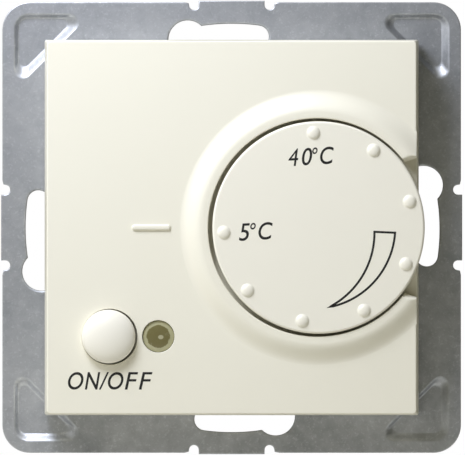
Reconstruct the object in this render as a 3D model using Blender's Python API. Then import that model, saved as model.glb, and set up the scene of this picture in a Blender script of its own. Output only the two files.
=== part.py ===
"""Flush wall thermostat: support plate, cover, dial, push button and the electronics behind them.

Metres, +Z up. The front faces -Y and the wall plane is Y = 0, with the origin at the plate's centre.
Depths are given as distances in front of the wall plane, so a piece at depth d lies at Y = -d.
Widths run along X and heights along Z.
"""

import math

import bmesh
import bpy

for thing in list(bpy.data.objects):
    bpy.data.objects.remove(thing)

# Clearances
GAP = 0.0003  # between touching pieces
RUN = 0.0005  # round pieces that turn or slide past a neighbour

# Support plate
PLATE_WIDTH = 0.0710
PLATE_HEIGHT = 0.0698
PLATE_THICKNESS = 0.0010
PLATE_CORNER = 0.0042
PRESS_DEPTH = 0.0008  # how far the corner pockets are pressed back, to the wall plane
TAB_WIDTH = 0.0102
TAB_PROUD = 0.0002
NOTCH_WIDTH = 0.0015
NOTCH_DEPTH = 0.0012
POCKET_LEG = 0.0113
POCKET_INSET = 0.0020
POCKET_CORNER = 0.0020
POCKET_TIP = 0.0013
POCKET_SLOPE = 0.0008
FIXING_RADIUS = 0.0300  # wall box screws stand 60 mm apart
SLOT_WIDTH = 0.0034
SLOT_HEAD_RADIUS = 0.0030
SLOT_HEAD_ANGLE = -13.1  # degrees from the side's middle to the head
SLOT_END_ANGLE = 7.8

# Cover
COVER_WIDTH = 0.0567
COVER_HEIGHT = 0.0572
COVER_DRAFT = 0.00045  # each side, from the face to the skirt
COVER_CORNER = 0.0006
COVER_WALL = 0.0015
COVER_FRONT_WALL = 0.0018
COVER_FACE = 0.0120  # depth of the front face
COLLAR_RISE = 0.0014
COLLAR_LIP = 0.0009
COLLAR_FLARE = 0.0036
WELL_FLOOR = 0.0104
WELL_FLOOR_THICKNESS = 0.0015
WELL_SHIFT = -0.0002  # the well sits a little to the left of the dial's axis
WELL_OPEN_ANGLE = 36.8  # degrees above and below the dial's axis that the well is open to the right
INDEX_X = -0.0123
INDEX_LENGTH = 0.0060
INDEX_HEIGHT = 0.0009
INDEX_RISE = 0.0004
INDEX_ROUND = 0.45  # of its height

# Dial
DIAL_X = 0.0133
DIAL_RADIUS = 0.01625
DIAL_GAP = 0.00047
DIAL_THICKNESS = 0.0032
DIAL_EDGE = 0.0004
DIAL_RIM = 0.0016
DIAL_SKIN = 0.0016
DIAL_HUB_RADIUS = 0.0047
DIAL_HUB_LENGTH = 0.0038
BUMP_COUNT = 8
BUMP_RADIUS = 0.00095
BUMP_RISE = 0.00045
BUMP_INSET = 0.00175  # from the dial's edge to the middle of a mark
BUMP_FIRST_ANGLE = 183.0
DIAL_TRAVEL = 270.0

# Potentiometer
POT_RADIUS = 0.0055
POT_WALL = 0.0007
POT_FRONT = 0.0033
POT_LENGTH = 0.0065
POT_FRONT_WALL = 0.0008
BUSH_RADIUS = 0.0041
BUSH_LENGTH = 0.0033
SHAFT_RADIUS = 0.0030
SHAFT_FLAT = 0.0019
ROTOR_THICKNESS = 0.0012
TRACK_THICKNESS = 0.0010

# Button and switch
BUTTON_X = -0.01886
BUTTON_Z = -0.0167
BUTTON_RADIUS = 0.0041
BUTTON_RISE = 0.0026  # above the cover's face
BUTTON_DOME = 0.0020
BUTTON_FLANGE = 0.0005
BUTTON_TRAVEL = 0.0012
SWITCH_SIDE = 0.0062
SWITCH_BACK = 0.0024
SWITCH_FRONT = 0.0074
SWITCH_WALL = 0.0008
PLUNGER_SIDE = 0.0023
COLLAR_SIDE = 0.0034
COLLAR_THICKNESS = 0.0006
SPRING_RADIUS = 0.0016
SPRING_TOP_RADIUS = 0.0011
SPRING_WIRE = 0.0003
SPRING_TURNS = 3

# Indicator lamp
LED_X = -0.01124
LED_Z = -0.0167
LED_RADIUS = 0.0022
LED_FLANGE = 0.00025
LED_RECESS = 0.0007
LED_FLANGE_THICKNESS = 0.0008
LED_LENGTH = 0.0053
LEG_PITCH = 0.00254
LEG_SIDE = 0.0005

# Tray between plate and cover
TRAY_CLEARANCE = 0.0005  # between the tray and the inside of the cover
TRAY_BASE = 0.0012
TRAY_WALL = 0.0012
TRAY_RIM = 0.0070
TRAY_WINDOW_WIDTH = 0.0350
TRAY_WINDOW_HEIGHT = 0.0390
BOSS_RADIUS = 0.0022
BOSS_DEPTH = 0.0080

# Circuit boards
BOARD_THICKNESS = 0.0016
POWER_SIDE = 0.0378
POWER_FRONT = -0.0084

# Rear housing
HOUSING_SIDE = 0.0420
HOUSING_CORNER = 0.0030
HOUSING_WALL = 0.0016
HOUSING_BACK = -0.0240
LEDGE_BOTTOM = -0.0050
LEDGE_TOP = 0.0105
EAR_RADIUS = 0.0024
EAR_THICKNESS = 0.0024

# Screws
HOUSING_SCREW_X = 0.0135
EAR_REACH = 0.0027  # from the plate's window to the screws' centres
SMALL_SCREW_RADIUS = 0.00125
SMALL_HEAD_RADIUS = 0.0022
SMALL_HEAD_HEIGHT = 0.0014
COVER_SCREW_RADIUS = 0.0015
COVER_HEAD_RADIUS = 0.0028
COVER_HEAD_HEIGHT = 0.0015
DRIVE_WIDTH = 0.0006
DRIVE_DEPTH = 0.0007
DRIVE_REACH = 1.2  # length of the cross over the head's radius

# Terminals
TERMINAL_COUNT = 5
TERMINAL_PITCH = 0.0070
TERMINAL_BLOCK_MARGIN = 0.0004  # beyond the end terminals' pitch, each side
TERMINAL_BLOCK_DEPTH = 0.0104
TERMINAL_BLOCK_HEIGHT = 0.0098
CHAMBER_WIDTH = 0.0052
CHAMBER_DEPTH = 0.0056
WIRE_ENTRY = 0.0036
CLAMP_HEIGHT = 0.0066
CLAMP_WIRE_HOLE = 0.0032
TERMINAL_SCREW_RADIUS = 0.00125
TERMINAL_HEAD_RADIUS = 0.0019
TERMINAL_HEAD_HEIGHT = 0.0011

# What the boards carry
CHIP_X = -0.0120
CHIP_Z = 0.0120
CHIP_LENGTH = 0.0090
CHIP_WIDTH = 0.0040
CHIP_HEIGHT = 0.0016
CHIP_PINS = 7
CHIP_PITCH = 0.00127
CONNECTOR_X = -0.0145
CONNECTOR_PINS = 8
RELAY_SIZE = (0.0190, 0.0100, 0.0150)
RELAY_X = -0.0080
RELAY_Z = 0.0100
FILM_SIZE = (0.0130, 0.0095, 0.0060)
FILM_X = 0.0115
FILM_Z = 0.0110
FUSE_RADIUS = 0.0042
FUSE_LENGTH = 0.0075
FUSE_X = 0.0120
FUSE_Z = -0.0020
VARISTOR_RADIUS = 0.0042
VARISTOR_THICKNESS = 0.0034
VARISTOR_X = -0.0080
VARISTOR_Z = -0.0048
ELECTROLYTIC_RADIUS = 0.0040
ELECTROLYTIC_LENGTH = 0.0090
ELECTROLYTIC_X = -0.0060
ELECTROLYTIC_Z = 0.0080

# Sides of round pieces
LARGE_ROUND = 64
MIDDLE_ROUND = 32
SMALL_ROUND = 24
SCREW_ROUND = 16

# Colours
CREAM = (0.86, 0.84, 0.75)
ZINC = (0.45, 0.46, 0.47)
STEEL = (0.62, 0.62, 0.63)
BRASS = (0.72, 0.56, 0.25)
GREY_PLASTIC = (0.16, 0.17, 0.18)
BLOCK_GREY = (0.10, 0.11, 0.12)
BLACK_PLASTIC = (0.04, 0.04, 0.045)
WHITE_PLASTIC = (0.75, 0.74, 0.70)
PHENOLIC_BROWN = (0.35, 0.22, 0.10)
BOARD_GREEN = (0.03, 0.16, 0.07)
SMOKED_LENS = (0.20, 0.19, 0.12)
RELAY_BLUE = (0.03, 0.06, 0.16)
FILM_YELLOW = (0.55, 0.40, 0.06)
FUSE_BROWN = (0.09, 0.05, 0.03)
VARISTOR_BLUE = (0.03, 0.10, 0.30)
SLEEVE_BLUE = (0.05, 0.05, 0.10)

# Sizes that follow from the ones above
PLATE_BACK = PRESS_DEPTH
PLATE_FRONT = PLATE_BACK + PLATE_THICKNESS
COVER_BACK = PLATE_FRONT + GAP
COVER_INNER_FACE = COVER_FACE - COVER_FRONT_WALL
COLLAR_TOP = COVER_FACE + COLLAR_RISE
WELL_X = DIAL_X + WELL_SHIFT
WELL_RADIUS = DIAL_RADIUS + DIAL_GAP
WELL_BACK = WELL_FLOOR - WELL_FLOOR_THICKNESS
DIAL_BACK = WELL_FLOOR + GAP
DIAL_FRONT = DIAL_BACK + DIAL_THICKNESS
DIAL_HUB_BACK = DIAL_BACK - DIAL_HUB_LENGTH
POT_BACK = POT_FRONT - POT_LENGTH
SHAFT_FRONT = DIAL_FRONT - DIAL_SKIN - GAP
TRAY_BACK = PLATE_FRONT + GAP
TRAY_BASE_FRONT = TRAY_BACK + TRAY_BASE
CONTROL_BACK = TRAY_BASE_FRONT + GAP
CONTROL_FRONT = CONTROL_BACK + BOARD_THICKNESS
POWER_BACK = POWER_FRONT - BOARD_THICKNESS
PLATE_WINDOW = HOUSING_SIDE + 2 * RUN
HOUSING_SCREW_Z = PLATE_WINDOW / 2 + EAR_REACH
TRAY_WIDTH = COVER_WIDTH - 2 * (COVER_WALL + TRAY_CLEARANCE)
TRAY_HEIGHT = COVER_HEIGHT - 2 * (COVER_WALL + TRAY_CLEARANCE)
CONTROL_WIDTH = TRAY_WIDTH - 2 * (TRAY_WALL + TRAY_CLEARANCE)
CONTROL_HEIGHT = 2 * (HOUSING_SCREW_Z - BOSS_RADIUS - TRAY_CLEARANCE)
TERMINAL_BLOCK_WIDTH = TERMINAL_COUNT * TERMINAL_PITCH + 2 * TERMINAL_BLOCK_MARGIN
HOUSING_FRONT = TRAY_BACK - GAP
COVER_SCREW_X = DIAL_X - (DIAL_HUB_RADIUS + WELL_RADIUS) / 2  # halfway between hub and well wall
COVER_SEAT = WELL_FLOOR - COVER_HEAD_HEIGHT - 2 * GAP
BLOCK_BOTTOM = -HOUSING_SIDE / 2 + GAP
BLOCK_BACK = HOUSING_BACK + GAP
BLOCK_FRONT = BLOCK_BACK + TERMINAL_BLOCK_DEPTH
FAR = 0.02  # how far a cutter runs past what it cuts


# Outlines, as lists of (x, z) points


def arc(x, z, radius, start, end, steps):
    """Points on an arc about (x, z), with its angles in degrees."""
    points = []
    for step in range(steps + 1):
        angle = math.radians(start + (end - start) * step / steps)
        points.append((x + radius * math.cos(angle), z + radius * math.sin(angle)))
    return points


def circle(radius, segments):
    return arc(0, 0, radius, 0, 360, segments)[:-1]


def rectangle(width, height):
    x = width / 2
    z = height / 2
    return [(x, z), (-x, z), (-x, -z), (x, -z)]


def rounded_rectangle(width, height, radius, steps=4):
    x = width / 2 - radius
    z = height / 2 - radius
    points = arc(x, z, radius, 0, 90, steps)
    points += arc(-x, z, radius, 90, 180, steps)
    points += arc(-x, -z, radius, 180, 270, steps)
    points += arc(x, -z, radius, 270, 360, steps)
    return points


def turn(points, quarters):
    """The points turned anticlockwise about the origin by quarter turns."""
    for _ in range(quarters):
        points = [(-z, x) for x, z in points]
    return points


def plate_outline():
    """Four sides, each with a tab between two round-bottomed notches, joined by round corners."""
    points = []
    half_notch = NOTCH_WIDTH / 2
    notch_x = TAB_WIDTH / 2 + half_notch
    for quarter in range(4):
        along = (PLATE_WIDTH, PLATE_HEIGHT)[quarter % 2] / 2
        out = (PLATE_HEIGHT, PLATE_WIDTH)[quarter % 2] / 2
        bottom = out - NOTCH_DEPTH + half_notch
        side = arc(along - PLATE_CORNER, out - PLATE_CORNER, PLATE_CORNER, 0, 90, 6)
        side += [(notch_x + half_notch, out)]
        side += arc(notch_x, bottom, half_notch, 0, -180, 6)
        side += [(TAB_WIDTH / 2, out + TAB_PROUD), (-TAB_WIDTH / 2, out + TAB_PROUD)]
        side += arc(-notch_x, bottom, half_notch, 0, -180, 6)
        side += [(-notch_x - half_notch, out)]
        points += turn(side, quarter)
    return points


def slot_outline():
    """A curved slot with a round head, following the circle of the wall box's screws at the top side."""
    outer = FIXING_RADIUS + SLOT_WIDTH / 2
    inner = FIXING_RADIUS - SLOT_WIDTH / 2
    head = math.radians(90 - SLOT_HEAD_ANGLE)
    end = 90 - SLOT_END_ANGLE
    head_x = FIXING_RADIUS * math.cos(head)
    head_z = FIXING_RADIUS * math.sin(head)
    end_x = FIXING_RADIUS * math.cos(math.radians(end))
    end_z = FIXING_RADIUS * math.sin(math.radians(end))
    meets = []
    for radius in (outer, inner):
        square = FIXING_RADIUS**2 + radius**2 - SLOT_HEAD_RADIUS**2
        angle = head - math.acos(square / (2 * FIXING_RADIUS * radius))
        toward = math.atan2(radius * math.sin(angle) - head_z, radius * math.cos(angle) - head_x)
        meets.append((math.degrees(angle), math.degrees(toward)))
    (outer_end, head_start), (inner_start, head_stop) = meets
    points = arc(0, 0, outer, end, outer_end, 6)
    points += arc(head_x, head_z, SLOT_HEAD_RADIUS, head_start, head_stop + 360, 16)[1:-1]
    points += arc(0, 0, inner, inner_start, end, 6)
    points += arc(end_x, end_z, SLOT_WIDTH / 2, end - 180, end, 8)[1:-1]
    return points


def pocket_outline(inset):
    """A rounded right triangle in the top right corner, drawn in by inset on all sides."""
    leg = POCKET_LEG - inset * (2 + math.sqrt(2))
    corner = max(POCKET_CORNER - inset, GAP)
    tip = max(POCKET_TIP - inset * 0.5, GAP)
    reach = tip / math.tan(math.radians(22.5))
    x = PLATE_WIDTH / 2 - POCKET_INSET - inset
    z = PLATE_HEIGHT / 2 - POCKET_INSET - inset
    points = arc(x - corner, z - corner, corner, 0, 90, 4)
    points += arc(x - leg + reach, z - tip, tip, 90, 225, 6)
    points += arc(x - tip, z - leg + reach, tip, 225, 360, 6)
    return points


# Making solids


def to_object(name, mesh):
    """Link a bmesh to the scene as a named object, with its faces pointing out."""
    bmesh.ops.recalc_face_normals(mesh, faces=mesh.faces)
    data = bpy.data.meshes.new(name)
    mesh.to_mesh(data)
    mesh.free()
    made = bpy.data.objects.new(name, data)
    bpy.context.scene.collection.objects.link(made)
    return made


def loft(name, back_outline, back, front_outline, front):
    """A solid between two outlines with the same number of points, at two depths."""
    mesh = bmesh.new()
    rear = [mesh.verts.new((x, -back, z)) for x, z in back_outline]
    fore = [mesh.verts.new((x, -front, z)) for x, z in front_outline]
    mesh.faces.new(rear)
    mesh.faces.new(fore)
    count = len(rear)
    for i in range(count):
        j = (i + 1) % count
        mesh.faces.new((rear[i], rear[j], fore[j], fore[i]))
    return to_object(name, mesh)


def prism(name, outline, back, front):
    return loft(name, outline, back, outline, front)


def box(name, low, high):
    """A block between two corners, each (x, depth, z)."""
    outline = [(high[0], high[2]), (low[0], high[2]), (low[0], low[2]), (high[0], low[2])]
    return prism(name, outline, low[1], high[1])


def turned(name, profile, segments):
    """Turn (radius, depth) points about the depth axis.

    A profile that begins and ends on the axis makes a solid body, and any other is closed into a ring.
    """
    mesh = bmesh.new()
    rings = []
    for radius, depth in profile:
        if radius == 0:
            rings.append([mesh.verts.new((0, -depth, 0))])
        else:
            ring = [mesh.verts.new((x, -depth, z)) for x, z in circle(radius, segments)]
            rings.append(ring)
    pairs = list(zip(rings, rings[1:]))
    if len(rings[0]) > 1:
        pairs.append((rings[-1], rings[0]))
    for one, other in pairs:
        for i in range(segments):
            j = (i + 1) % segments
            low, high = len(one), len(other)
            corners = (one[i % low], one[j % low], other[j % high], other[i % high])
            mesh.faces.new(list(dict.fromkeys(corners)))
    return to_object(name, mesh)


def rod(name, radius, back, front, segments=SMALL_ROUND):
    return prism(name, circle(radius, segments), back, front)


def place(made, x, z):
    made.location = (x, 0, z)
    return made


def boolean(target, tools, operation):
    """Apply Booleans of the target with each tool in turn, and remove the tools."""
    for tool in tools:
        tool.hide_render = True
        tool.display_type = "WIRE"
        modifier = target.modifiers.new(operation.title(), "BOOLEAN")
        modifier.operation = operation
        modifier.solver = "EXACT"
        modifier.object = tool
        bpy.context.view_layer.update()
        evaluated = target.evaluated_get(bpy.context.evaluated_depsgraph_get())
        data = bpy.data.meshes.new_from_object(evaluated)
        target.modifiers.clear()
        target.data = data
        bpy.data.objects.remove(tool)
    return target


def cut(target, *tools):
    return boolean(target, tools, "DIFFERENCE")


def join(target, *tools):
    return boolean(target, tools, "UNION")


def finish(made, colour, roughness, metallic=0.0, smooth=False):
    """Give a piece its own material, and smooth shading where it is round."""
    material = bpy.data.materials.new(made.name)
    material.use_nodes = True
    shader = material.node_tree.nodes["Principled BSDF"]
    shader.inputs["Base Color"].default_value = (*colour, 1.0)
    shader.inputs["Roughness"].default_value = roughness
    shader.inputs["Metallic"].default_value = metallic
    made.data.materials.clear()
    made.data.materials.append(material)
    made.data.name = made.name
    if smooth:
        made.data.shade_smooth()
        made.data.set_sharp_from_angle(angle=math.radians(35))
    return made


def mounting_plate():
    """Pressed steel plate: corner pockets reach back to the wall, and slots take the wall screws."""
    plate = prism("mounting_plate", plate_outline(), PLATE_BACK, PLATE_FRONT)
    wall = PRESS_DEPTH / 2
    mirror = ((1, 1), (-1, 1), (-1, -1), (1, -1))
    for sx, sz in mirror:
        outer = [(sx * x, sz * z) for x, z in pocket_outline(-wall)]
        outer_low = [(sx * x, sz * z) for x, z in pocket_outline(POCKET_SLOPE - wall)]
        join(plate, loft("pad", outer_low, 0, outer, PLATE_BACK + GAP))
    for sx, sz in mirror:
        floor = [(sx * x, sz * z) for x, z in pocket_outline(POCKET_SLOPE)]
        above = [(sx * x, sz * z) for x, z in pocket_outline(-POCKET_SLOPE)]
        cut(plate, loft("pocket", floor, PLATE_FRONT - PRESS_DEPTH, above, PLATE_FRONT + PRESS_DEPTH))
    for quarter in range(4):
        cut(plate, prism("slot", turn(slot_outline(), quarter), -FAR, FAR))
    window = rounded_rectangle(PLATE_WINDOW, PLATE_WINDOW, HOUSING_CORNER)
    cut(plate, prism("window", window, -FAR, FAR))
    for sx, sz in mirror:
        hole = rod("screw_hole", SMALL_SCREW_RADIUS + GAP, -FAR, FAR, SCREW_ROUND)
        cut(plate, place(hole, sx * HOUSING_SCREW_X, sz * HOUSING_SCREW_Z))
    finish(plate, ZINC, 0.38, 1.0)


def front_cover():
    """Moulded cover: a shallow box with the dial's well, its flared collar, the index and three holes."""
    skirt = rounded_rectangle(COVER_WIDTH + 2 * COVER_DRAFT, COVER_HEIGHT + 2 * COVER_DRAFT, COVER_CORNER)
    face = rounded_rectangle(COVER_WIDTH, COVER_HEIGHT, COVER_CORNER)
    cover = loft("front_cover", skirt, COVER_BACK, face, COVER_FACE)
    lip = WELL_RADIUS + COLLAR_LIP
    profile = [(0, WELL_FLOOR), (lip + COLLAR_FLARE, WELL_FLOOR)]
    steps = 6
    for step in range(steps + 1):
        share = step / steps
        rise = COLLAR_RISE * (1 - math.cos(math.pi * share)) / 2
        profile.append((lip + COLLAR_FLARE * (1 - share), COVER_FACE + rise))
    profile.append((0, COLLAR_TOP))
    collar = place(turned("collar", profile, LARGE_ROUND), WELL_X, 0)
    half = COVER_WIDTH / 2
    cut(collar, box("trim", (half - COVER_DRAFT / 2, 0, -FAR * 2), (FAR * 3, FAR, FAR * 2)))
    join(cover, collar)
    inner = rounded_rectangle(COVER_WIDTH - 2 * COVER_WALL, COVER_HEIGHT - 2 * COVER_WALL, COVER_CORNER)
    cut(cover, prism("hollow", inner, 0, COVER_INNER_FACE))
    cup = rod("cup", WELL_RADIUS + COVER_WALL, WELL_BACK, COVER_INNER_FACE + GAP, LARGE_ROUND)
    place(cup, WELL_X, 0)
    cut(cup, box("cup_trim", (half - COVER_WALL / 2, 0, -FAR * 2), (FAR * 3, FAR, FAR * 2)))
    tower = rod("tower", COVER_HEAD_RADIUS + COVER_WALL, CONTROL_FRONT + GAP, WELL_FLOOR - GAP)
    join(cover, cup, place(tower, COVER_SCREW_X, 0))
    cut(cover, place(rod("well", WELL_RADIUS, WELL_FLOOR, FAR, LARGE_ROUND), WELL_X, 0))
    reach = WELL_RADIUS * math.sin(math.radians(WELL_OPEN_ANGLE))
    cut(cover, box("opening", (WELL_X, WELL_FLOOR, -reach), (FAR * 3, FAR, reach)))
    cut(cover, place(rod("hub_hole", DIAL_HUB_RADIUS + RUN, 0, FAR, MIDDLE_ROUND), DIAL_X, 0))
    cut(cover, place(rod("head_hole", COVER_HEAD_RADIUS + RUN, COVER_SEAT, FAR), COVER_SCREW_X, 0))
    cut(cover, place(rod("screw_hole", COVER_SCREW_RADIUS + GAP, 0, FAR), COVER_SCREW_X, 0))
    cut(cover, place(rod("button_hole", BUTTON_RADIUS + RUN, 0, FAR, MIDDLE_ROUND), BUTTON_X, BUTTON_Z))
    cut(cover, place(rod("led_hole", LED_RADIUS + GAP, 0, FAR, MIDDLE_ROUND), LED_X, LED_Z))
    index = rounded_rectangle(INDEX_LENGTH, INDEX_HEIGHT, INDEX_HEIGHT * INDEX_ROUND)
    bar = prism("index", index, COVER_FACE - GAP, COVER_FACE + INDEX_RISE)
    join(cover, place(bar, INDEX_X, 0))
    finish(cover, CREAM, 0.32, smooth=True)


def d_outline(radius, flat, segments=SMALL_ROUND):
    """A circle cut off by a flat at a distance above its centre."""
    start = math.degrees(math.asin(flat / radius))
    return arc(0, 0, radius, 180 - start, 360 + start, segments)


def temperature_dial():
    """Dial: a hollow-backed disc with domed marks, and a hub with a D-shaped bore."""
    hollow = DIAL_FRONT - DIAL_SKIN
    profile = [
        (0, DIAL_FRONT),
        (DIAL_RADIUS - DIAL_EDGE, DIAL_FRONT),
        (DIAL_RADIUS, DIAL_FRONT - DIAL_EDGE),
        (DIAL_RADIUS, DIAL_BACK),
        (DIAL_RADIUS - DIAL_RIM, DIAL_BACK),
        (DIAL_RADIUS - DIAL_RIM, hollow),
        (DIAL_HUB_RADIUS, hollow),
        (DIAL_HUB_RADIUS, DIAL_HUB_BACK),
        (0, DIAL_HUB_BACK),
    ]
    dial = turned("temperature_dial", profile, LARGE_ROUND)
    bore = d_outline(SHAFT_RADIUS + GAP, SHAFT_FLAT + GAP)
    cut(dial, prism("bore", bore, 0, SHAFT_FRONT + GAP))
    sphere = (BUMP_RADIUS**2 + BUMP_RISE**2) / (2 * BUMP_RISE)
    half_angle = math.asin(BUMP_RADIUS / sphere)
    bump_ring = DIAL_RADIUS - BUMP_INSET
    for number in range(BUMP_COUNT):
        angle = math.radians(BUMP_FIRST_ANGLE + DIAL_TRAVEL * number / (BUMP_COUNT - 1))
        cap = [(0, DIAL_FRONT - GAP), (BUMP_RADIUS, DIAL_FRONT - GAP)]
        for step in (1, 2):
            tilt = half_angle * (1 - step / 3)
            height = sphere * (math.cos(tilt) - 1) + BUMP_RISE
            cap.append((sphere * math.sin(tilt), DIAL_FRONT + height))
        cap.append((0, DIAL_FRONT + BUMP_RISE))
        bump = turned("bump", cap, SCREW_ROUND)
        join(dial, place(bump, bump_ring * math.cos(angle), bump_ring * math.sin(angle)))
    place(dial, DIAL_X, 0)
    finish(dial, CREAM, 0.30, smooth=True)


def potentiometer():
    """Case, rotor with its shaft, and track. All three share the dial's axis."""
    inner = POT_RADIUS - POT_WALL
    shelf = POT_FRONT - POT_FRONT_WALL
    bush_front = POT_FRONT + BUSH_LENGTH
    profile = [
        (inner, POT_BACK),
        (POT_RADIUS, POT_BACK),
        (POT_RADIUS, POT_FRONT),
        (BUSH_RADIUS, POT_FRONT),
        (BUSH_RADIUS, bush_front),
        (SHAFT_RADIUS + GAP, bush_front),
        (SHAFT_RADIUS + GAP, shelf),
        (inner, shelf),
    ]
    case = place(turned("potentiometer_case", profile, MIDDLE_ROUND), DIAL_X, 0)
    finish(case, STEEL, 0.4, 1.0, smooth=True)
    disc_front = shelf - GAP
    rotor = rod("potentiometer_rotor", inner - RUN, disc_front - ROTOR_THICKNESS, disc_front, MIDDLE_ROUND)
    neck = rod("neck", SHAFT_RADIUS, disc_front - GAP, bush_front + GAP)
    shaft = prism("shaft", d_outline(SHAFT_RADIUS, SHAFT_FLAT), bush_front, SHAFT_FRONT)
    place(join(rotor, neck, shaft), DIAL_X, 0)
    finish(rotor, WHITE_PLASTIC, 0.45, smooth=True)
    track_back = POT_BACK + GAP
    track = rod("potentiometer_track", inner - GAP, track_back, track_back + TRACK_THICKNESS, MIDDLE_ROUND)
    pins = []
    for number in (-1, 0, 1):
        x = number * LEG_PITCH
        back = track_back - 2 * LEG_PITCH
        pins.append(box("pin", (x - LEG_SIDE, back, -LEG_SIDE), (x + LEG_SIDE, track_back + GAP, LEG_SIDE)))
    place(join(track, *pins), DIAL_X, 0)
    finish(track, PHENOLIC_BROWN, 0.6)


def button():
    """Domed cap, and the switch behind it: case, plunger and return spring. All share the button's axis."""
    top = COVER_FACE + BUTTON_RISE
    edge = top - BUTTON_DOME
    sphere = (BUTTON_RADIUS**2 + BUTTON_DOME**2) / (2 * BUTTON_DOME)
    half_angle = math.asin(BUTTON_RADIUS / sphere)
    flange_front = COVER_INNER_FACE - GAP
    flange_back = flange_front - BUTTON_FLANGE
    flange = BUTTON_RADIUS + RUN + BUTTON_FLANGE
    profile = [(0, flange_back), (flange, flange_back), (flange, flange_front)]
    profile.append((BUTTON_RADIUS, flange_front))
    steps = 7
    for step in range(steps):
        tilt = half_angle * (1 - step / steps)
        profile.append((sphere * math.sin(tilt), edge + BUTTON_DOME + sphere * (math.cos(tilt) - 1)))
    profile.append((0, top))
    cap = place(turned("button_cap", profile, MIDDLE_ROUND), BUTTON_X, BUTTON_Z)
    finish(cap, CREAM, 0.28, smooth=True)

    case = prism("switch_case", rectangle(SWITCH_SIDE, SWITCH_SIDE), SWITCH_BACK, SWITCH_FRONT)
    cavity_side = SWITCH_SIDE - 2 * SWITCH_WALL
    cavity_back = SWITCH_BACK + SWITCH_WALL
    cavity_front = SWITCH_FRONT - SWITCH_WALL
    neck_side = PLUNGER_SIDE + 2 * GAP
    cut(
        case,
        prism("cavity", rectangle(cavity_side, cavity_side), cavity_back, cavity_front),
        prism("neck", rectangle(neck_side, neck_side), cavity_front - GAP, FAR),
    )
    place(case, BUTTON_X, BUTTON_Z)
    finish(case, BLACK_PLASTIC, 0.5)

    collar_front = cavity_front - GAP
    collar_back = collar_front - COLLAR_THICKNESS
    plunger = prism("switch_plunger", rectangle(COLLAR_SIDE, COLLAR_SIDE), collar_back, collar_front)
    stem = prism("stem", rectangle(PLUNGER_SIDE, PLUNGER_SIDE), collar_front - GAP, flange_back - GAP)
    place(join(plunger, stem), BUTTON_X, BUTTON_Z)
    finish(plunger, WHITE_PLASTIC, 0.4)

    spring = coil(cavity_back + GAP, collar_back - GAP)
    place(spring, BUTTON_X, BUTTON_Z)
    finish(spring, STEEL, 0.3, 1.0, smooth=True)


def coil(back, front):
    """A conical compression spring, its wire swept along the helix as a six-sided tube."""
    steps = SPRING_TURNS * 14
    sides = 6
    wire = SPRING_WIRE / 2
    mesh = bmesh.new()
    rings = []
    for step in range(steps + 1):
        share = step / steps
        turned_by = 2 * math.pi * SPRING_TURNS * share
        radius = SPRING_RADIUS + (SPRING_TOP_RADIUS - SPRING_RADIUS) * share
        depth = back + wire + (front - back - 2 * wire) * share
        ring = []
        for side in range(sides):
            around = 2 * math.pi * side / sides
            out = radius + wire * math.cos(around)
            x = out * math.cos(turned_by)
            z = out * math.sin(turned_by)
            ring.append(mesh.verts.new((x, -(depth + wire * math.sin(around)), z)))
        rings.append(ring)
    mesh.faces.new(rings[0])
    mesh.faces.new(rings[-1])
    for one, other in zip(rings, rings[1:]):
        for i in range(sides):
            j = (i + 1) % sides
            mesh.faces.new((one[i], one[j], other[j], other[i]))
    return to_object("switch_spring", mesh)


def indicator_lamp():
    """Round lamp with a domed top, a flange and two legs that pass through the control board."""
    top = COVER_FACE - LED_RECESS
    back = top - LED_LENGTH
    flange = LED_RADIUS + LED_FLANGE
    shoulder = back + LED_FLANGE_THICKNESS
    profile = [(0, back), (flange, back), (flange, shoulder), (LED_RADIUS, shoulder)]
    for step in range(5):
        angle = math.radians(90 * step / 5)
        profile.append((LED_RADIUS * math.cos(angle), top - LED_RADIUS * (1 - math.sin(angle))))
    profile.append((0, top))
    lamp = turned("status_led", profile, SMALL_ROUND)
    half = LEG_SIDE / 2
    leg_end = CONTROL_BACK - LEG_PITCH / 2
    for side in (-1, 1):
        x = side * LEG_PITCH / 2
        join(lamp, box("leg", (x - half, leg_end, -half), (x + half, back + GAP, half)))
    place(lamp, LED_X, LED_Z)
    finish(lamp, SMOKED_LENS, 0.2, smooth=True)


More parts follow.
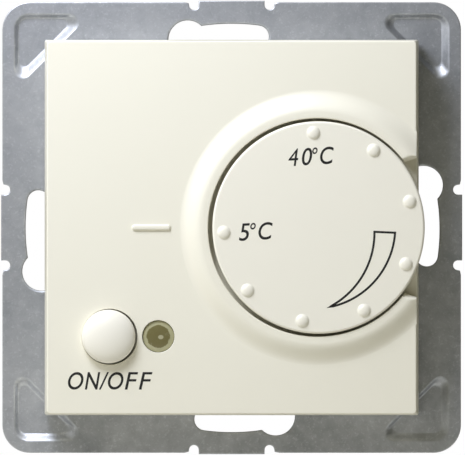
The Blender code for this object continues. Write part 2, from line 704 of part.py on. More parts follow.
def front_housing():
    """Tray on the plate: open in the middle, with a rim, screw bosses and a bar for the cover screw."""
    outline = rounded_rectangle(TRAY_WIDTH, TRAY_HEIGHT, COVER_CORNER)
    tray = prism("front_housing", outline, TRAY_BACK, TRAY_RIM)
    inside = rounded_rectangle(TRAY_WIDTH - 2 * TRAY_WALL, TRAY_HEIGHT - 2 * TRAY_WALL, COVER_CORNER)
    cut(tray, prism("inside", inside, TRAY_BASE_FRONT, FAR))
    window = rectangle(TRAY_WINDOW_WIDTH, TRAY_WINDOW_HEIGHT)
    cut(tray, prism("window", window, -FAR, FAR))
    pot_clear = POT_RADIUS + RUN
    cut(tray, place(rod("pot_hole", pot_clear, 0, TRAY_BASE_FRONT + GAP, MIDDLE_ROUND), DIAL_X, 0))
    switch_clear = SWITCH_SIDE + 2 * GAP
    hole = prism("switch_hole", rectangle(switch_clear, switch_clear), 0, TRAY_BASE_FRONT + GAP)
    cut(tray, place(hole, BUTTON_X, BUTTON_Z))
    bar_half = COVER_SCREW_RADIUS + COVER_WALL
    half_window = TRAY_WINDOW_HEIGHT / 2 + GAP
    low = (COVER_SCREW_X - bar_half, TRAY_BACK, -half_window)
    high = (COVER_SCREW_X + bar_half, TRAY_BASE_FRONT, half_window)
    nut = rod("nut", bar_half - GAP, POT_BACK, TRAY_BASE_FRONT - GAP)
    join(tray, box("bar", low, high), place(nut, COVER_SCREW_X, 0))
    for x, z in housing_screw_places():
        join(tray, place(rod("boss", BOSS_RADIUS, TRAY_BASE_FRONT - GAP, BOSS_DEPTH), x, z))
    for x, z in housing_screw_places():
        drill = rod("pilot", SMALL_SCREW_RADIUS + GAP, 0, BOSS_DEPTH - 2 * GAP, SCREW_ROUND)
        cut(tray, place(drill, x, z))
    cut(tray, place(rod("nut_bore", COVER_SCREW_RADIUS + GAP, -FAR, FAR), COVER_SCREW_X, 0))
    finish(tray, GREY_PLASTIC, 0.5)


def housing_screw_places():
    return [(sx * HOUSING_SCREW_X, sz * HOUSING_SCREW_Z) for sx, sz in ((-1, 1), (1, 1), (-1, -1), (1, -1))]


def rear_housing():
    """Case behind the plate: a square cup with four screw ears and a notch for the terminal block."""
    outline = rounded_rectangle(HOUSING_SIDE, HOUSING_SIDE, HOUSING_CORNER)
    housing = prism("rear_housing", outline, HOUSING_BACK, HOUSING_FRONT)
    ear_front = PLATE_BACK - GAP
    for x, z in housing_screw_places():
        root = math.copysign(HOUSING_SIDE / 2 - HOUSING_WALL / 2, z)
        left = x - EAR_RADIUS
        right = x + EAR_RADIUS
        ear = [(right, root), (right, z), (left, z), (left, root)]
        join(housing, prism("ear", ear, ear_front - EAR_THICKNESS, ear_front))
        join(housing, place(rod("ear_end", EAR_RADIUS, ear_front - EAR_THICKNESS, ear_front), x, z))
    inner_side = HOUSING_SIDE - 2 * HOUSING_WALL
    inner = rounded_rectangle(inner_side, inner_side, HOUSING_CORNER - HOUSING_WALL)
    cut(housing, prism("inside", inner, HOUSING_BACK + HOUSING_WALL, FAR))
    ledge_depth = POWER_BACK - GAP
    for side in (-1, 1):
        wall = side * inner_side / 2
        tip = side * (POWER_SIDE / 2 - HOUSING_WALL / 2)
        low = (min(wall + side * GAP, tip), ledge_depth - HOUSING_WALL, LEDGE_BOTTOM)
        high = (max(wall + side * GAP, tip), ledge_depth, LEDGE_TOP)
        join(housing, box("ledge", low, high))
    notch_half = TERMINAL_BLOCK_WIDTH / 2 + GAP
    low = (-notch_half, HOUSING_BACK - FAR, -HOUSING_SIDE)
    high = (notch_half, BLOCK_FRONT + GAP, BLOCK_BOTTOM + TERMINAL_BLOCK_HEIGHT + GAP)
    cut(housing, box("notch", low, high))
    for x, z in housing_screw_places():
        cut(housing, place(rod("screw_hole", SMALL_SCREW_RADIUS + GAP, -FAR, FAR, SCREW_ROUND), x, z))
    finish(housing, GREY_PLASTIC, 0.5)


def screw(name, radius, head_radius, back, seat, head_front):
    """A pan-head screw whose head faces the front, with a cross in it."""
    head = rod(name, head_radius, seat, head_front, SCREW_ROUND)
    join(head, rod("shank", radius, back, seat + GAP, SCREW_ROUND))
    across = head_radius * DRIVE_REACH
    for width, height in ((DRIVE_WIDTH, across), (across, DRIVE_WIDTH)):
        cut(head, prism("drive", rectangle(width, height), head_front - DRIVE_DEPTH, FAR))
    return head


def screws():
    """The cover screw under the dial, and four from behind through ears, plate and tray."""
    seat = COVER_SEAT + GAP
    head_front = seat + COVER_HEAD_HEIGHT
    one = screw("cover_screw", COVER_SCREW_RADIUS, COVER_HEAD_RADIUS, POT_BACK + GAP, seat, head_front)
    place(one, COVER_SCREW_X, 0)
    finish(one, STEEL, 0.3, 1.0)
    seat = PLATE_BACK - EAR_THICKNESS - 2 * GAP
    tip = BOSS_DEPTH - 4 * GAP
    for number, (x, z) in enumerate(housing_screw_places(), 1):
        name = f"housing_screw_{number}"
        one = screw(name, SMALL_SCREW_RADIUS, SMALL_HEAD_RADIUS, -tip, -seat, SMALL_HEAD_HEIGHT - seat)
        one.rotation_euler = (0, 0, math.pi)
        place(one, x, z)
        finish(one, STEEL, 0.3, 1.0)


def control_board():
    """Board in the tray, cut out for the bush, the switch and the cover screw, and drilled for the lamp."""
    outline = rectangle(CONTROL_WIDTH, CONTROL_HEIGHT)
    board = prism("control_board", outline, CONTROL_BACK, CONTROL_FRONT)
    switch_side = SWITCH_SIDE + 2 * GAP
    cut(
        board,
        place(rod("bush_hole", BUSH_RADIUS + GAP, 0, FAR, MIDDLE_ROUND), DIAL_X, 0),
        place(rod("screw_hole", COVER_SCREW_RADIUS + 2 * GAP, 0, FAR, SCREW_ROUND), COVER_SCREW_X, 0),
        place(prism("switch_hole", rectangle(switch_side, switch_side), 0, FAR), BUTTON_X, BUTTON_Z),
    )
    leg = LEG_SIDE + 2 * GAP
    for side in (-1, 1):
        hole = prism("leg_hole", rectangle(leg, leg), 0, FAR)
        cut(board, place(hole, LED_X + side * LEG_PITCH / 2, LED_Z))
    finish(board, BOARD_GREEN, 0.4)


def board_parts():
    """Power board behind, and what the two boards carry."""
    outline = rectangle(POWER_SIDE, POWER_SIDE)
    board = prism("power_board", outline, POWER_BACK, POWER_FRONT)
    finish(board, BOARD_GREEN, 0.4)

    under = CONTROL_FRONT + 2 * GAP
    chip = prism("microcontroller", rectangle(CHIP_LENGTH, CHIP_WIDTH), under, under + CHIP_HEIGHT)
    half = LEG_SIDE / 2
    for number in range(CHIP_PINS):
        x = (number - (CHIP_PINS - 1) / 2) * CHIP_PITCH
        low = (x - half, CONTROL_FRONT + GAP, -CHIP_WIDTH / 2 - LEG_SIDE * 2)
        high = (x + half, under + LEG_SIDE, CHIP_WIDTH / 2 + LEG_SIDE * 2)
        join(chip, box("lead", low, high))
    place(chip, CHIP_X, CHIP_Z)
    finish(chip, BLACK_PLASTIC, 0.5)

    back = POWER_FRONT + GAP
    front = CONTROL_BACK - GAP
    strip = CONNECTOR_PINS * LEG_PITCH / 2
    strip_half = LEG_PITCH / 2
    low = (-strip_half, back + LEG_PITCH, -strip)
    connector = box("board_connector", low, (strip_half, back + 2 * LEG_PITCH, strip))
    for number in range(CONNECTOR_PINS):
        z = (number - (CONNECTOR_PINS - 1) / 2) * LEG_PITCH
        join(connector, box("pin", (-half, back, z - half), (half, front, z + half)))
    place(connector, CONNECTOR_X, 0)
    finish(connector, BLACK_PLASTIC, 0.5)

    for name, size, x, z, colour in (
        ("relay", RELAY_SIZE, RELAY_X, RELAY_Z, RELAY_BLUE),
        ("mains_capacitor", FILM_SIZE, FILM_X, FILM_Z, FILM_YELLOW),
    ):
        far = POWER_BACK - GAP
        body = prism(name, rounded_rectangle(size[0], size[2], COVER_CORNER, 2), far - size[1], far)
        place(body, x, z)
        finish(body, colour, 0.4)

    far = POWER_BACK - GAP
    fuse = place(rod("fuse", FUSE_RADIUS, far - FUSE_LENGTH, far), FUSE_X, FUSE_Z)
    finish(fuse, FUSE_BROWN, 0.45, smooth=True)

    disc = rod("varistor", VARISTOR_RADIUS, -VARISTOR_THICKNESS / 2, VARISTOR_THICKNESS / 2)
    disc.rotation_euler = (0, 0, math.radians(90))
    centre = far - LEG_PITCH - VARISTOR_RADIUS
    disc.location = (0, -centre, 0)
    for side in (-1, 1):
        z = side * LEG_PITCH / 2
        join(disc, box("leg", (-half, centre, z - half), (half, far, z + half)))
    disc.location = (VARISTOR_X, -centre, VARISTOR_Z)
    finish(disc, VARISTOR_BLUE, 0.4, smooth=True)

    near = POWER_FRONT + GAP
    electrolytic = rod("smoothing_capacitor", ELECTROLYTIC_RADIUS, near, near + ELECTROLYTIC_LENGTH)
    place(electrolytic, ELECTROLYTIC_X, ELECTROLYTIC_Z)
    finish(electrolytic, SLEEVE_BLUE, 0.35, smooth=True)


def terminals():
    """Block in the rear housing's notch, with a cage clamp and a screw for each wire."""
    half_width = TERMINAL_BLOCK_WIDTH / 2
    top = BLOCK_BOTTOM + TERMINAL_BLOCK_HEIGHT
    block = box("terminal_block", (-half_width, BLOCK_BACK, BLOCK_BOTTOM), (half_width, BLOCK_FRONT, top))
    chamber_back = (BLOCK_BACK + BLOCK_FRONT - CHAMBER_DEPTH) / 2
    chamber_front = chamber_back + CHAMBER_DEPTH
    clamp_top = top - HOUSING_WALL - GAP
    clamp_bottom = clamp_top - CLAMP_HEIGHT
    wire_z = clamp_top - TERMINAL_HEAD_HEIGHT - CLAMP_WIRE_HOLE / 2
    head_top = clamp_bottom - GAP
    head_bottom = head_top - TERMINAL_HEAD_HEIGHT
    half_chamber = CHAMBER_WIDTH / 2
    half_wire = CLAMP_WIRE_HOLE / 2
    half_entry = WIRE_ENTRY / 2
    half_clamp = half_chamber - GAP
    tail_x = LEG_SIDE
    tail_z = LEG_SIDE / 2
    for number in range(1, TERMINAL_COUNT + 1):
        x = (number - (TERMINAL_COUNT + 1) / 2) * TERMINAL_PITCH
        below = BLOCK_BOTTOM - FAR
        chamber = box(
            "chamber",
            (x - half_chamber, chamber_back, below),
            (x + half_chamber, chamber_front, clamp_top + GAP),
        )
        entry = box(
            "entry",
            (x - half_entry, -FAR * 2, wire_z - half_entry),
            (x + half_entry, chamber_back + GAP, wire_z + half_entry),
        )
        tail_hole = box(
            "tail_hole",
            (x - tail_x - GAP, chamber_front - GAP, wire_z - tail_z - GAP),
            (x + tail_x + GAP, FAR, wire_z + tail_z + GAP),
        )
        cut(block, chamber, entry, tail_hole)

        clamp = box(
            f"terminal_clamp_{number}",
            (x - half_clamp, chamber_back + GAP, clamp_bottom),
            (x + half_clamp, chamber_front - GAP, clamp_top),
        )
        wire_hole = box(
            "wire_hole",
            (x - half_wire, -FAR * 2, wire_z - half_wire),
            (x + half_wire, chamber_front - GAP - LEG_SIDE * 2, wire_z + half_wire),
        )
        middle = chamber_back + CHAMBER_DEPTH / 2
        thread = upright("thread", TERMINAL_SCREW_RADIUS + GAP, x, below, wire_z, middle)
        cut(clamp, wire_hole, thread)
        tail = box(
            "tail",
            (x - tail_x, chamber_front - 2 * GAP, wire_z - tail_z),
            (x + tail_x, POWER_BACK - GAP, wire_z + tail_z),
        )
        join(clamp, tail)
        finish(clamp, BRASS, 0.35, 1.0)

        one = upright(f"terminal_screw_{number}", TERMINAL_HEAD_RADIUS, x, head_bottom, head_top, middle)
        shank_top = wire_z - half_wire + GAP
        join(one, upright("shank", TERMINAL_SCREW_RADIUS, x, head_top - GAP, shank_top, middle))
        slot_half = DRIVE_WIDTH / 2
        slot = box(
            "slot",
            (x - FAR / 4, middle - slot_half, head_bottom - GAP),
            (x + FAR / 4, middle + slot_half, head_bottom + DRIVE_DEPTH),
        )
        cut(one, slot)
        finish(one, STEEL, 0.3, 1.0)
    finish(block, BLOCK_GREY, 0.5)


def upright(name, radius, x, low, high, depth, segments=SCREW_ROUND):
    """A rod along Z between two heights, about an axis at the given x and depth."""
    mesh = bmesh.new()
    rings = []
    for z in (low, high):
        rings.append([mesh.verts.new((x + px, -depth + py, z)) for px, py in circle(radius, segments)])
    mesh.faces.new(rings[0])
    mesh.faces.new(rings[1])
    for i in range(segments):
        j = (i + 1) % segments
        mesh.faces.new((rings[0][i], rings[0][j], rings[1][j], rings[1][i]))
    return to_object(name, mesh)


mounting_plate()
front_cover()
temperature_dial()
potentiometer()
button()
indicator_lamp()
front_housing()
rear_housing()
screws()
control_board()
board_parts()
terminals()
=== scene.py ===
import math

import bmesh
import bpy
from mathutils import Matrix, Vector


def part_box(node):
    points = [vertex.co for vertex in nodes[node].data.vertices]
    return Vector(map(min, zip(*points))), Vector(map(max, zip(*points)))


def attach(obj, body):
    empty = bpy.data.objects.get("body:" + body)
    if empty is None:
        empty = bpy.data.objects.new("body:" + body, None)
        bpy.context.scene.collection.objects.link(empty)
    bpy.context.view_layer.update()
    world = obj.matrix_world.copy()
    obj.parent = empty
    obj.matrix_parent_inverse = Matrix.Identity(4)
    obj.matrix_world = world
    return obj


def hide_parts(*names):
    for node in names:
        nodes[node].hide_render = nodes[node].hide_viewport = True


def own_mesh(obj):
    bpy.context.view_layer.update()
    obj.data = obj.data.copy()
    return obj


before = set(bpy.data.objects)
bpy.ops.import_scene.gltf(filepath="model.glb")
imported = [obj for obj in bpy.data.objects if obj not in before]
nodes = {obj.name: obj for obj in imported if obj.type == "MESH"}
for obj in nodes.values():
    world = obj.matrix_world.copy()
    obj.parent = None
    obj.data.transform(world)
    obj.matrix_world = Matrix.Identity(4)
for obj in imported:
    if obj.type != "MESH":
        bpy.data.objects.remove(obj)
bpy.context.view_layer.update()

# Camera, floor and studio light.
# The thermostat faces -Y and is looked at straight on, from a metre away through a long lens.
# A dim warm sky, a white window at the upper left, one broad lamp there and a pale floor below.
MM = 0.001
plate_low, plate_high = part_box("mounting_plate")
CAMERA_DISTANCE = 1.0
CAMERA_X = 0.13 * MM
SENSOR_WIDTH = 36.0
VIEW_WIDTH = 72.0 * MM  # what the view takes in at the support plate's face
camera_data = bpy.data.cameras.new("camera")
camera_data.sensor_width = SENSOR_WIDTH
camera_data.lens = SENSOR_WIDTH * CAMERA_DISTANCE / VIEW_WIDTH
camera_data.clip_start = 0.01
camera_data.clip_end = 10.0
camera = bpy.data.objects.new("camera", camera_data)
camera.location = (CAMERA_X, plate_low.y - CAMERA_DISTANCE, 0.0)
camera.rotation_euler = (math.radians(90), 0, 0)
bpy.context.scene.collection.objects.link(camera)
bpy.context.scene.camera = camera
bpy.context.scene.view_settings.view_transform = "Standard"

LIT_FROM = Vector((-0.60, -0.35, 0.70)).normalized()
SKY_DARK = 0.024
SKY_BRIGHT = 0.156
WINDOW_FROM = Vector((-0.66, -0.20, 0.72)).normalized()
WINDOW_BRIGHT = 1.25
WINDOW_EDGE = (0.64, 0.93)  # cosines of the angles at which the window begins and is full
AROUND_BRIGHT = 0.10  # of the white surroundings, from beside the thermostat round to behind it
AROUND_EDGE = (0.45, 0.05)  # cosines from straight in front, where they begin and are full
SKY_EDGE = (-0.4, 1.0)
SKY_TINT = (1.0, 0.955, 0.67, 1.0)
WHITE = (1.0, 1.0, 1.0, 1.0)
world = bpy.data.worlds.new("studio")
world.use_nodes = True
sky = world.node_tree
background = sky.nodes["Background"]
direction = sky.nodes.new("ShaderNodeTexCoord")


def glow(centre, edges, low, high):
    """Brightness that rises smoothly towards a direction, between two cosines."""
    toward = sky.nodes.new("ShaderNodeVectorMath")
    toward.operation = "DOT_PRODUCT"
    toward.inputs[1].default_value = centre
    sky.links.new(direction.outputs["Generated"], toward.inputs[0])
    spread = sky.nodes.new("ShaderNodeMapRange")
    spread.interpolation_type = "SMOOTHSTEP"
    spread.inputs["From Min"].default_value = edges[0]
    spread.inputs["From Max"].default_value = edges[1]
    spread.inputs["To Min"].default_value = low
    spread.inputs["To Max"].default_value = high
    sky.links.new(toward.outputs["Value"], spread.inputs["Value"])
    return spread.outputs["Result"]


windows = sky.nodes.new("ShaderNodeMath")
sky.links.new(glow(WINDOW_FROM, WINDOW_EDGE, 0.0, WINDOW_BRIGHT), windows.inputs[0])
sky.links.new(glow((0, -1, 0), AROUND_EDGE, 0.0, AROUND_BRIGHT), windows.inputs[1])
lit = sky.nodes.new("ShaderNodeMath")
sky.links.new(glow(LIT_FROM, SKY_EDGE, SKY_DARK, SKY_BRIGHT), lit.inputs[0])
sky.links.new(windows.outputs["Value"], lit.inputs[1])
seen = sky.nodes.new("ShaderNodeLightPath")
strength = sky.nodes.new("ShaderNodeMix")
strength.inputs["B"].default_value = 1.0
sky.links.new(seen.outputs["Is Camera Ray"], strength.inputs["Factor"])
sky.links.new(lit.outputs["Value"], strength.inputs["A"])
sky.links.new(strength.outputs["Result"], background.inputs["Strength"])
tint = sky.nodes.new("ShaderNodeMix")
tint.data_type = "RGBA"
neutral = sky.nodes.new("ShaderNodeMath")
sky.links.new(seen.outputs["Is Camera Ray"], neutral.inputs[0])
sky.links.new(windows.outputs["Value"], neutral.inputs[1])
sky.links.new(neutral.outputs["Value"], tint.inputs["Factor"])
for socket in tint.inputs:
    if socket.type == "RGBA":
        socket.default_value = SKY_TINT if socket.name == "A" else WHITE
sky.links.new([s for s in tint.outputs if s.type == "RGBA"][0], background.inputs["Color"])
bpy.context.scene.world = world


KEY_PLACE = Vector((-0.076, -0.126, 0.15))
KEY_SIZE = 0.09
KEY_POWER = 0.39
KEY_COLOUR = (0.95, 0.985, 1.10)
key_data = bpy.data.lights.new("key_lamp", "AREA")
key_data.color = KEY_COLOUR
key_data.size = KEY_SIZE
key_data.energy = KEY_POWER
key_lamp = bpy.data.objects.new("key_lamp", key_data)
key_lamp.location = KEY_PLACE
key_lamp.rotation_euler = (-KEY_PLACE).to_track_quat("-Z", "Y").to_euler()
bpy.context.scene.collection.objects.link(key_lamp)

FLOOR_DROP = 0.03
FLOOR_HALF = 0.25
FLOOR_COLOUR = (0.72, 0.70, 0.62, 1.0)
FLOOR_ROUGHNESS = 0.7
floor_z = plate_low.z - FLOOR_DROP
floor_mesh = bpy.data.meshes.new("floor")
floor_corners = [(x * FLOOR_HALF, y * FLOOR_HALF, floor_z) for x, y in ((-1, -1), (1, -1), (1, 1), (-1, 1))]
floor_mesh.from_pydata(floor_corners, [], [(0, 1, 2, 3)])
floor = bpy.data.objects.new("floor", floor_mesh)
bpy.context.scene.collection.objects.link(floor)
floor_paint = bpy.data.materials.new("floor_paint")
floor_paint.use_nodes = True
floor_shader = floor_paint.node_tree.nodes["Principled BSDF"]
floor_shader.inputs["Base Color"].default_value = FLOOR_COLOUR
floor_shader.inputs["Roughness"].default_value = FLOOR_ROUGHNESS
floor_mesh.materials.append(floor_paint)


# Support plate.
# Stamped from 1 mm galvanised sheet: rounded corners, a tab between two notches on each side, four
# curved screw slots, and a triangular pocket pressed back in each corner. Stamping rounds every edge.
PLATE_FRONT = -plate_low.y
PLATE_BACK = 0.8 * MM
STAMPED_EDGE = 0.14 * MM
SLOT_EDGE = 0.28 * MM
PLATE_CORNER = 4.3 * MM
TAB_WIDTH = 10.2 * MM
TAB_PROUD = 0.2 * MM
NOTCH_WIDTH = 1.5 * MM
NOTCH_DEPTH = 1.2 * MM
FIXING_RADIUS = 30.0 * MM
SLOT_WIDTH = 3.4 * MM
SLOT_HEAD_RADIUS = 3.0 * MM
SLOT_HEAD_ANGLE = -13.1
SLOT_END_ANGLE = 7.8
# How far each slot stands from its even place: top, left, bottom and right.
SLOT_SHIFTS = [(0, -0.12 * MM), (-0.22 * MM, 0), (0, 0), (0.5 * MM, -0.25 * MM)]
POCKET_LEG = 11.3 * MM
POCKET_INSET = 2.0 * MM
POCKET_CORNER = 2.0 * MM
POCKET_TIP = 1.3 * MM
POCKET_SLOPE = 0.8 * MM
POCKET_BACK_SLOPE = 0.4 * MM
POCKET_STEPS = 10
POCKET_LEAN = 0.25 * MM
FRONT_ROUND = 0.25 * MM
BACK_ROUND = 0.65 * MM
WINDOW_SIDE = 43.0 * MM
WINDOW_CORNER = 3.0 * MM
plate_half_x = plate_high.x - TAB_PROUD
plate_half_z = plate_high.z - TAB_PROUD


def arc(x, z, radius, start, end, steps):
    """Points on an arc about (x, z), its angles in degrees."""
    points = []
    for step in range(steps + 1):
        angle = math.radians(start + (end - start) * step / steps)
        points.append((x + radius * math.cos(angle), z + radius * math.sin(angle)))
    return points


def circle(radius, segments, x=0.0, z=0.0):
    """Points evenly round a full circle about (x, z)."""
    return arc(x, z, radius, 0, 360, segments)[:-1]


def rounded(width, height, radius, steps=8, x=0.0, z=0.0):
    """A rectangle with round corners, anticlockwise."""
    across = width / 2 - radius
    up = height / 2 - radius
    points = arc(x + across, z + up, radius, 0, 90, steps)
    points += arc(x - across, z + up, radius, 90, 180, steps)
    points += arc(x - across, z - up, radius, 180, 270, steps)
    points += arc(x + across, z - up, radius, 270, 360, steps)
    return points


def quarter_turns(points, count):
    """The outline turned by a number of quarter turns."""
    for _ in range(count):
        points = [(-z, x) for x, z in points]
    return points


def drawn_in(points, distance):
    """The outline moved inwards by a distance, or outwards where it is negative."""
    moved = []
    count = len(points)
    for i, here in enumerate(points):
        before = Vector(here) - Vector(points[i - 1])
        after = Vector(points[(i + 1) % count]) - Vector(here)
        inward = Vector((-after.y, after.x)).normalized()
        normal = Vector((-before.y, before.x)).normalized() + inward
        normal.normalize()
        lean = max(normal.dot(inward), 0.5)
        moved.append(tuple(Vector(here) + normal * distance / lean))
    return moved


def plate_edge():
    """One side is a corner, a notch, the tab and another notch, and the four sides are turned copies."""
    points = []
    half_notch = NOTCH_WIDTH / 2
    notch_x = TAB_WIDTH / 2 + half_notch
    for quarter in range(4):
        along = (plate_half_x, plate_half_z)[quarter % 2]
        out = (plate_half_z, plate_half_x)[quarter % 2]
        bottom = out - NOTCH_DEPTH + half_notch
        side = arc(along - PLATE_CORNER, out - PLATE_CORNER, PLATE_CORNER, 0, 90, 14)
        side += [(notch_x + 2 * half_notch, out), (notch_x + half_notch * 1.1, out - half_notch * 0.2)]
        side += arc(notch_x, bottom, half_notch, 0, -180, 12)
        side += [(TAB_WIDTH / 2, out + TAB_PROUD), (-TAB_WIDTH / 2, out + TAB_PROUD)]
        side += arc(-notch_x, bottom, half_notch, 0, -180, 12)
        side += [(-notch_x - half_notch * 1.1, out - half_notch * 0.2), (-notch_x - 2 * half_notch, out)]
        points += quarter_turns(side, quarter)
    return points


def slot_edge():
    """A curved slot at the top side, with the round head that lets a screw's head through."""
    outer = FIXING_RADIUS + SLOT_WIDTH / 2
    inner = FIXING_RADIUS - SLOT_WIDTH / 2
    head = math.radians(90 - SLOT_HEAD_ANGLE)
    end = 90 - SLOT_END_ANGLE
    head_x = FIXING_RADIUS * math.cos(head)
    head_z = FIXING_RADIUS * math.sin(head)
    end_x = FIXING_RADIUS * math.cos(math.radians(end))
    end_z = FIXING_RADIUS * math.sin(math.radians(end))
    meets = []
    for radius in (outer, inner):
        square = FIXING_RADIUS**2 + radius**2 - SLOT_HEAD_RADIUS**2
        angle = head - math.acos(square / (2 * FIXING_RADIUS * radius))
        toward = math.atan2(radius * math.sin(angle) - head_z, radius * math.cos(angle) - head_x)
        meets.append((math.degrees(angle), math.degrees(toward)))
    (outer_end, head_start), (inner_start, head_stop) = meets
    points = arc(0, 0, outer, end, outer_end, 12)
    points += arc(head_x, head_z, SLOT_HEAD_RADIUS, head_start, head_stop + 360, 30)[1:-1]
    points += arc(0, 0, inner, inner_start, end, 12)
    points += arc(end_x, end_z, SLOT_WIDTH / 2, end - 180, end, 14)[1:-1]
    return points


def pocket_edge(inset):
    """The top right pocket's outline, drawn in by inset."""
    leg = POCKET_LEG - inset * (2 + math.sqrt(2))
    corner = max(POCKET_CORNER - inset, 0.2 * MM)
    tip = max(POCKET_TIP - inset * 0.5, 0.2 * MM)
    reach = tip / math.tan(math.radians(22.5))
    x = plate_half_x - POCKET_INSET - inset
    z = plate_half_z - POCKET_INSET - inset
    points = arc(x - corner, z - corner, corner, 0, 90, 10)
    points += arc(x - leg + reach, z - tip, tip, 90, 225, 14)
    points += arc(x - tip, z - leg + reach, tip, 225, 360, 14)
    return points


def ring_wall(mesh, rings):
    """Joins outlines of equal length, each with its depth, into a wall. Returns its two end loops."""
    loops = []
    for points, depth in rings:
        loops.append([mesh.verts.new((x, -depth, z)) for x, z in points])
    count = len(loops[0])
    for one, other in zip(loops, loops[1:]):
        for i in range(count):
            j = (i + 1) % count
            mesh.faces.new((one[i], one[j], other[j], other[i]))
    return loops[0], loops[-1]


def loop_edges(mesh, loop):
    """The edges round a closed loop of vertices."""
    return [mesh.edges.get((loop[i], loop[(i + 1) % len(loop)])) for i in range(len(loop))]


def fill_between(mesh, loops):
    """Fills the flat area that an outer loop and the holes in it bound."""
    edges = []
    for loop in loops:
        edges += loop_edges(mesh, loop)
    bmesh.ops.triangle_fill(mesh, edges=edges, use_beauty=True)


def quarter_round(steps):
    """Steps round an edge of radius 1: how far in from its side and how far below its face."""
    angles = [math.radians(90 * step / steps) for step in range(steps + 1)]
    return [(1 - math.cos(angle), 1 - math.sin(angle)) for angle in angles]


def round_over(outline, edge, front, back, steps=4, sign=1):
    """Rings for a sheet's edge, rounded at the front and at the back. sign is -1 for a hole's edge."""
    rings = []
    for down, inward in quarter_round(steps):
        rings.append((drawn_in(outline, sign * edge * inward), front - edge * down))
    for down, inward in reversed(quarter_round(steps)):
        rings.append((drawn_in(outline, sign * edge * inward), back + edge * down))
    return rings


def to_piece(name, mesh, body, replaced=()):
    """Makes a bmesh a shown piece with smooth shading, riding on its body."""
    bmesh.ops.recalc_face_normals(mesh, faces=mesh.faces)
    data = bpy.data.meshes.new(name)
    mesh.to_mesh(data)
    mesh.free()
    piece = bpy.data.objects.new(name, data)
    bpy.context.scene.collection.objects.link(piece)
    return settle(piece, body, replaced)


def settle(piece, body, replaced=(), sharp=38):
    """Shades a piece smooth between its sharp edges and attaches it to its body."""
    piece.data.shade_smooth()
    piece.data.set_sharp_from_angle(angle=math.radians(sharp))
    weigh = piece.modifiers.new("weighted_normals", "WEIGHTED_NORMAL")
    weigh.keep_sharp = True
    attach(piece, body)
    if replaced:
        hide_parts(*replaced)
    return piece


def pressed_rings(mirror, face, floor, wide, slope):
    """Rings down a pressed pocket's wall. The press left the floor a little to the left and up."""
    rings = []
    for step in range(POCKET_STEPS + 1):
        share = step / POCKET_STEPS
        smooth = share * share * (3 - 2 * share)
        inset = -wide + (slope + wide) * share
        aside = POCKET_LEAN * smooth
        points = [(mirror[0] * x - aside, mirror[1] * z + aside) for x, z in pocket_edge(inset)]
        rings.append((points, face + (floor - face) * smooth))
    return rings


plate_mesh = bmesh.new()
front_loops = []
back_loops = []
first, last = ring_wall(plate_mesh, round_over(plate_edge(), STAMPED_EDGE, PLATE_FRONT, PLATE_BACK))
front_loops.append(first)
back_loops.append(last)
holes = []
for quarter, (across, up) in enumerate(SLOT_SHIFTS):
    holes.append([(x + across, z + up) for x, z in quarter_turns(slot_edge(), quarter)])
holes.append(rounded(WINDOW_SIDE, WINDOW_SIDE, WINDOW_CORNER))
for hole in holes:
    rings = round_over(hole, SLOT_EDGE, PLATE_FRONT, PLATE_BACK, sign=-1)
    first, last = ring_wall(plate_mesh, rings)
    front_loops.append(first)
    back_loops.append(last)
for mirror in ((1, 1), (-1, 1), (-1, -1), (1, -1)):
    rings = pressed_rings(mirror, PLATE_FRONT, PLATE_FRONT - PLATE_BACK, FRONT_ROUND, POCKET_SLOPE)
    first, last = ring_wall(plate_mesh, rings)
    front_loops.append(first)
    plate_mesh.faces.new(last)
    rings = pressed_rings(mirror, PLATE_BACK, 0.0, BACK_ROUND, POCKET_BACK_SLOPE)
    first, last = ring_wall(plate_mesh, rings)
    back_loops.append(first)
    plate_mesh.faces.new(last)
fill_between(plate_mesh, front_loops)
fill_between(plate_mesh, back_loops)
plate = to_piece("support_plate", plate_mesh, "case", ["mounting_plate"])
for face in plate.data.polygons:
    if abs(face.normal.y) > 0.9999:
        face.use_smooth = False


def new_group(name, inputs, outputs):
    """A shader node group with its own sockets. Returns the group and its two ends."""
    group = bpy.data.node_groups.new(name, "ShaderNodeTree")
    for label, kind, value in inputs:
        socket = group.interface.new_socket(label, in_out="INPUT", socket_type=kind)
        socket.default_value = value
    for label, kind in outputs:
        group.interface.new_socket(label, in_out="OUTPUT", socket_type=kind)
    return group, group.nodes.new("NodeGroupInput"), group.nodes.new("NodeGroupOutput")


def maths(tree, operation, first, second):
    """A Math node on two sockets or numbers."""
    node = tree.nodes.new("ShaderNodeMath")
    node.operation = operation
    for i, value in enumerate((first, second)):
        if isinstance(value, (int, float)):
            node.inputs[i].default_value = value
        else:
            tree.links.new(value, node.inputs[i])
    return node.outputs[0]


def ranged(tree, value, low, high, to_low, to_high):
    """A value carried from one range to another, held at both ends."""
    node = tree.nodes.new("ShaderNodeMapRange")
    node.inputs["From Min"].default_value = low
    node.inputs["From Max"].default_value = high
    node.inputs["To Min"].default_value = to_low
    node.inputs["To Max"].default_value = to_high
    tree.links.new(value, node.inputs["Value"])
    return node.outputs["Result"]


def noise(tree, coordinates, scale, detail=3.0, roughness=0.5):
    """Noise whose scale is a number or a socket."""
    node = tree.nodes.new("ShaderNodeTexNoise")
    node.inputs["Detail"].default_value = detail
    node.inputs["Roughness"].default_value = roughness
    if isinstance(scale, (int, float)):
        node.inputs["Scale"].default_value = scale
    else:
        tree.links.new(scale, node.inputs["Scale"])
    tree.links.new(coordinates, node.inputs["Vector"])
    return node.outputs["Fac"]


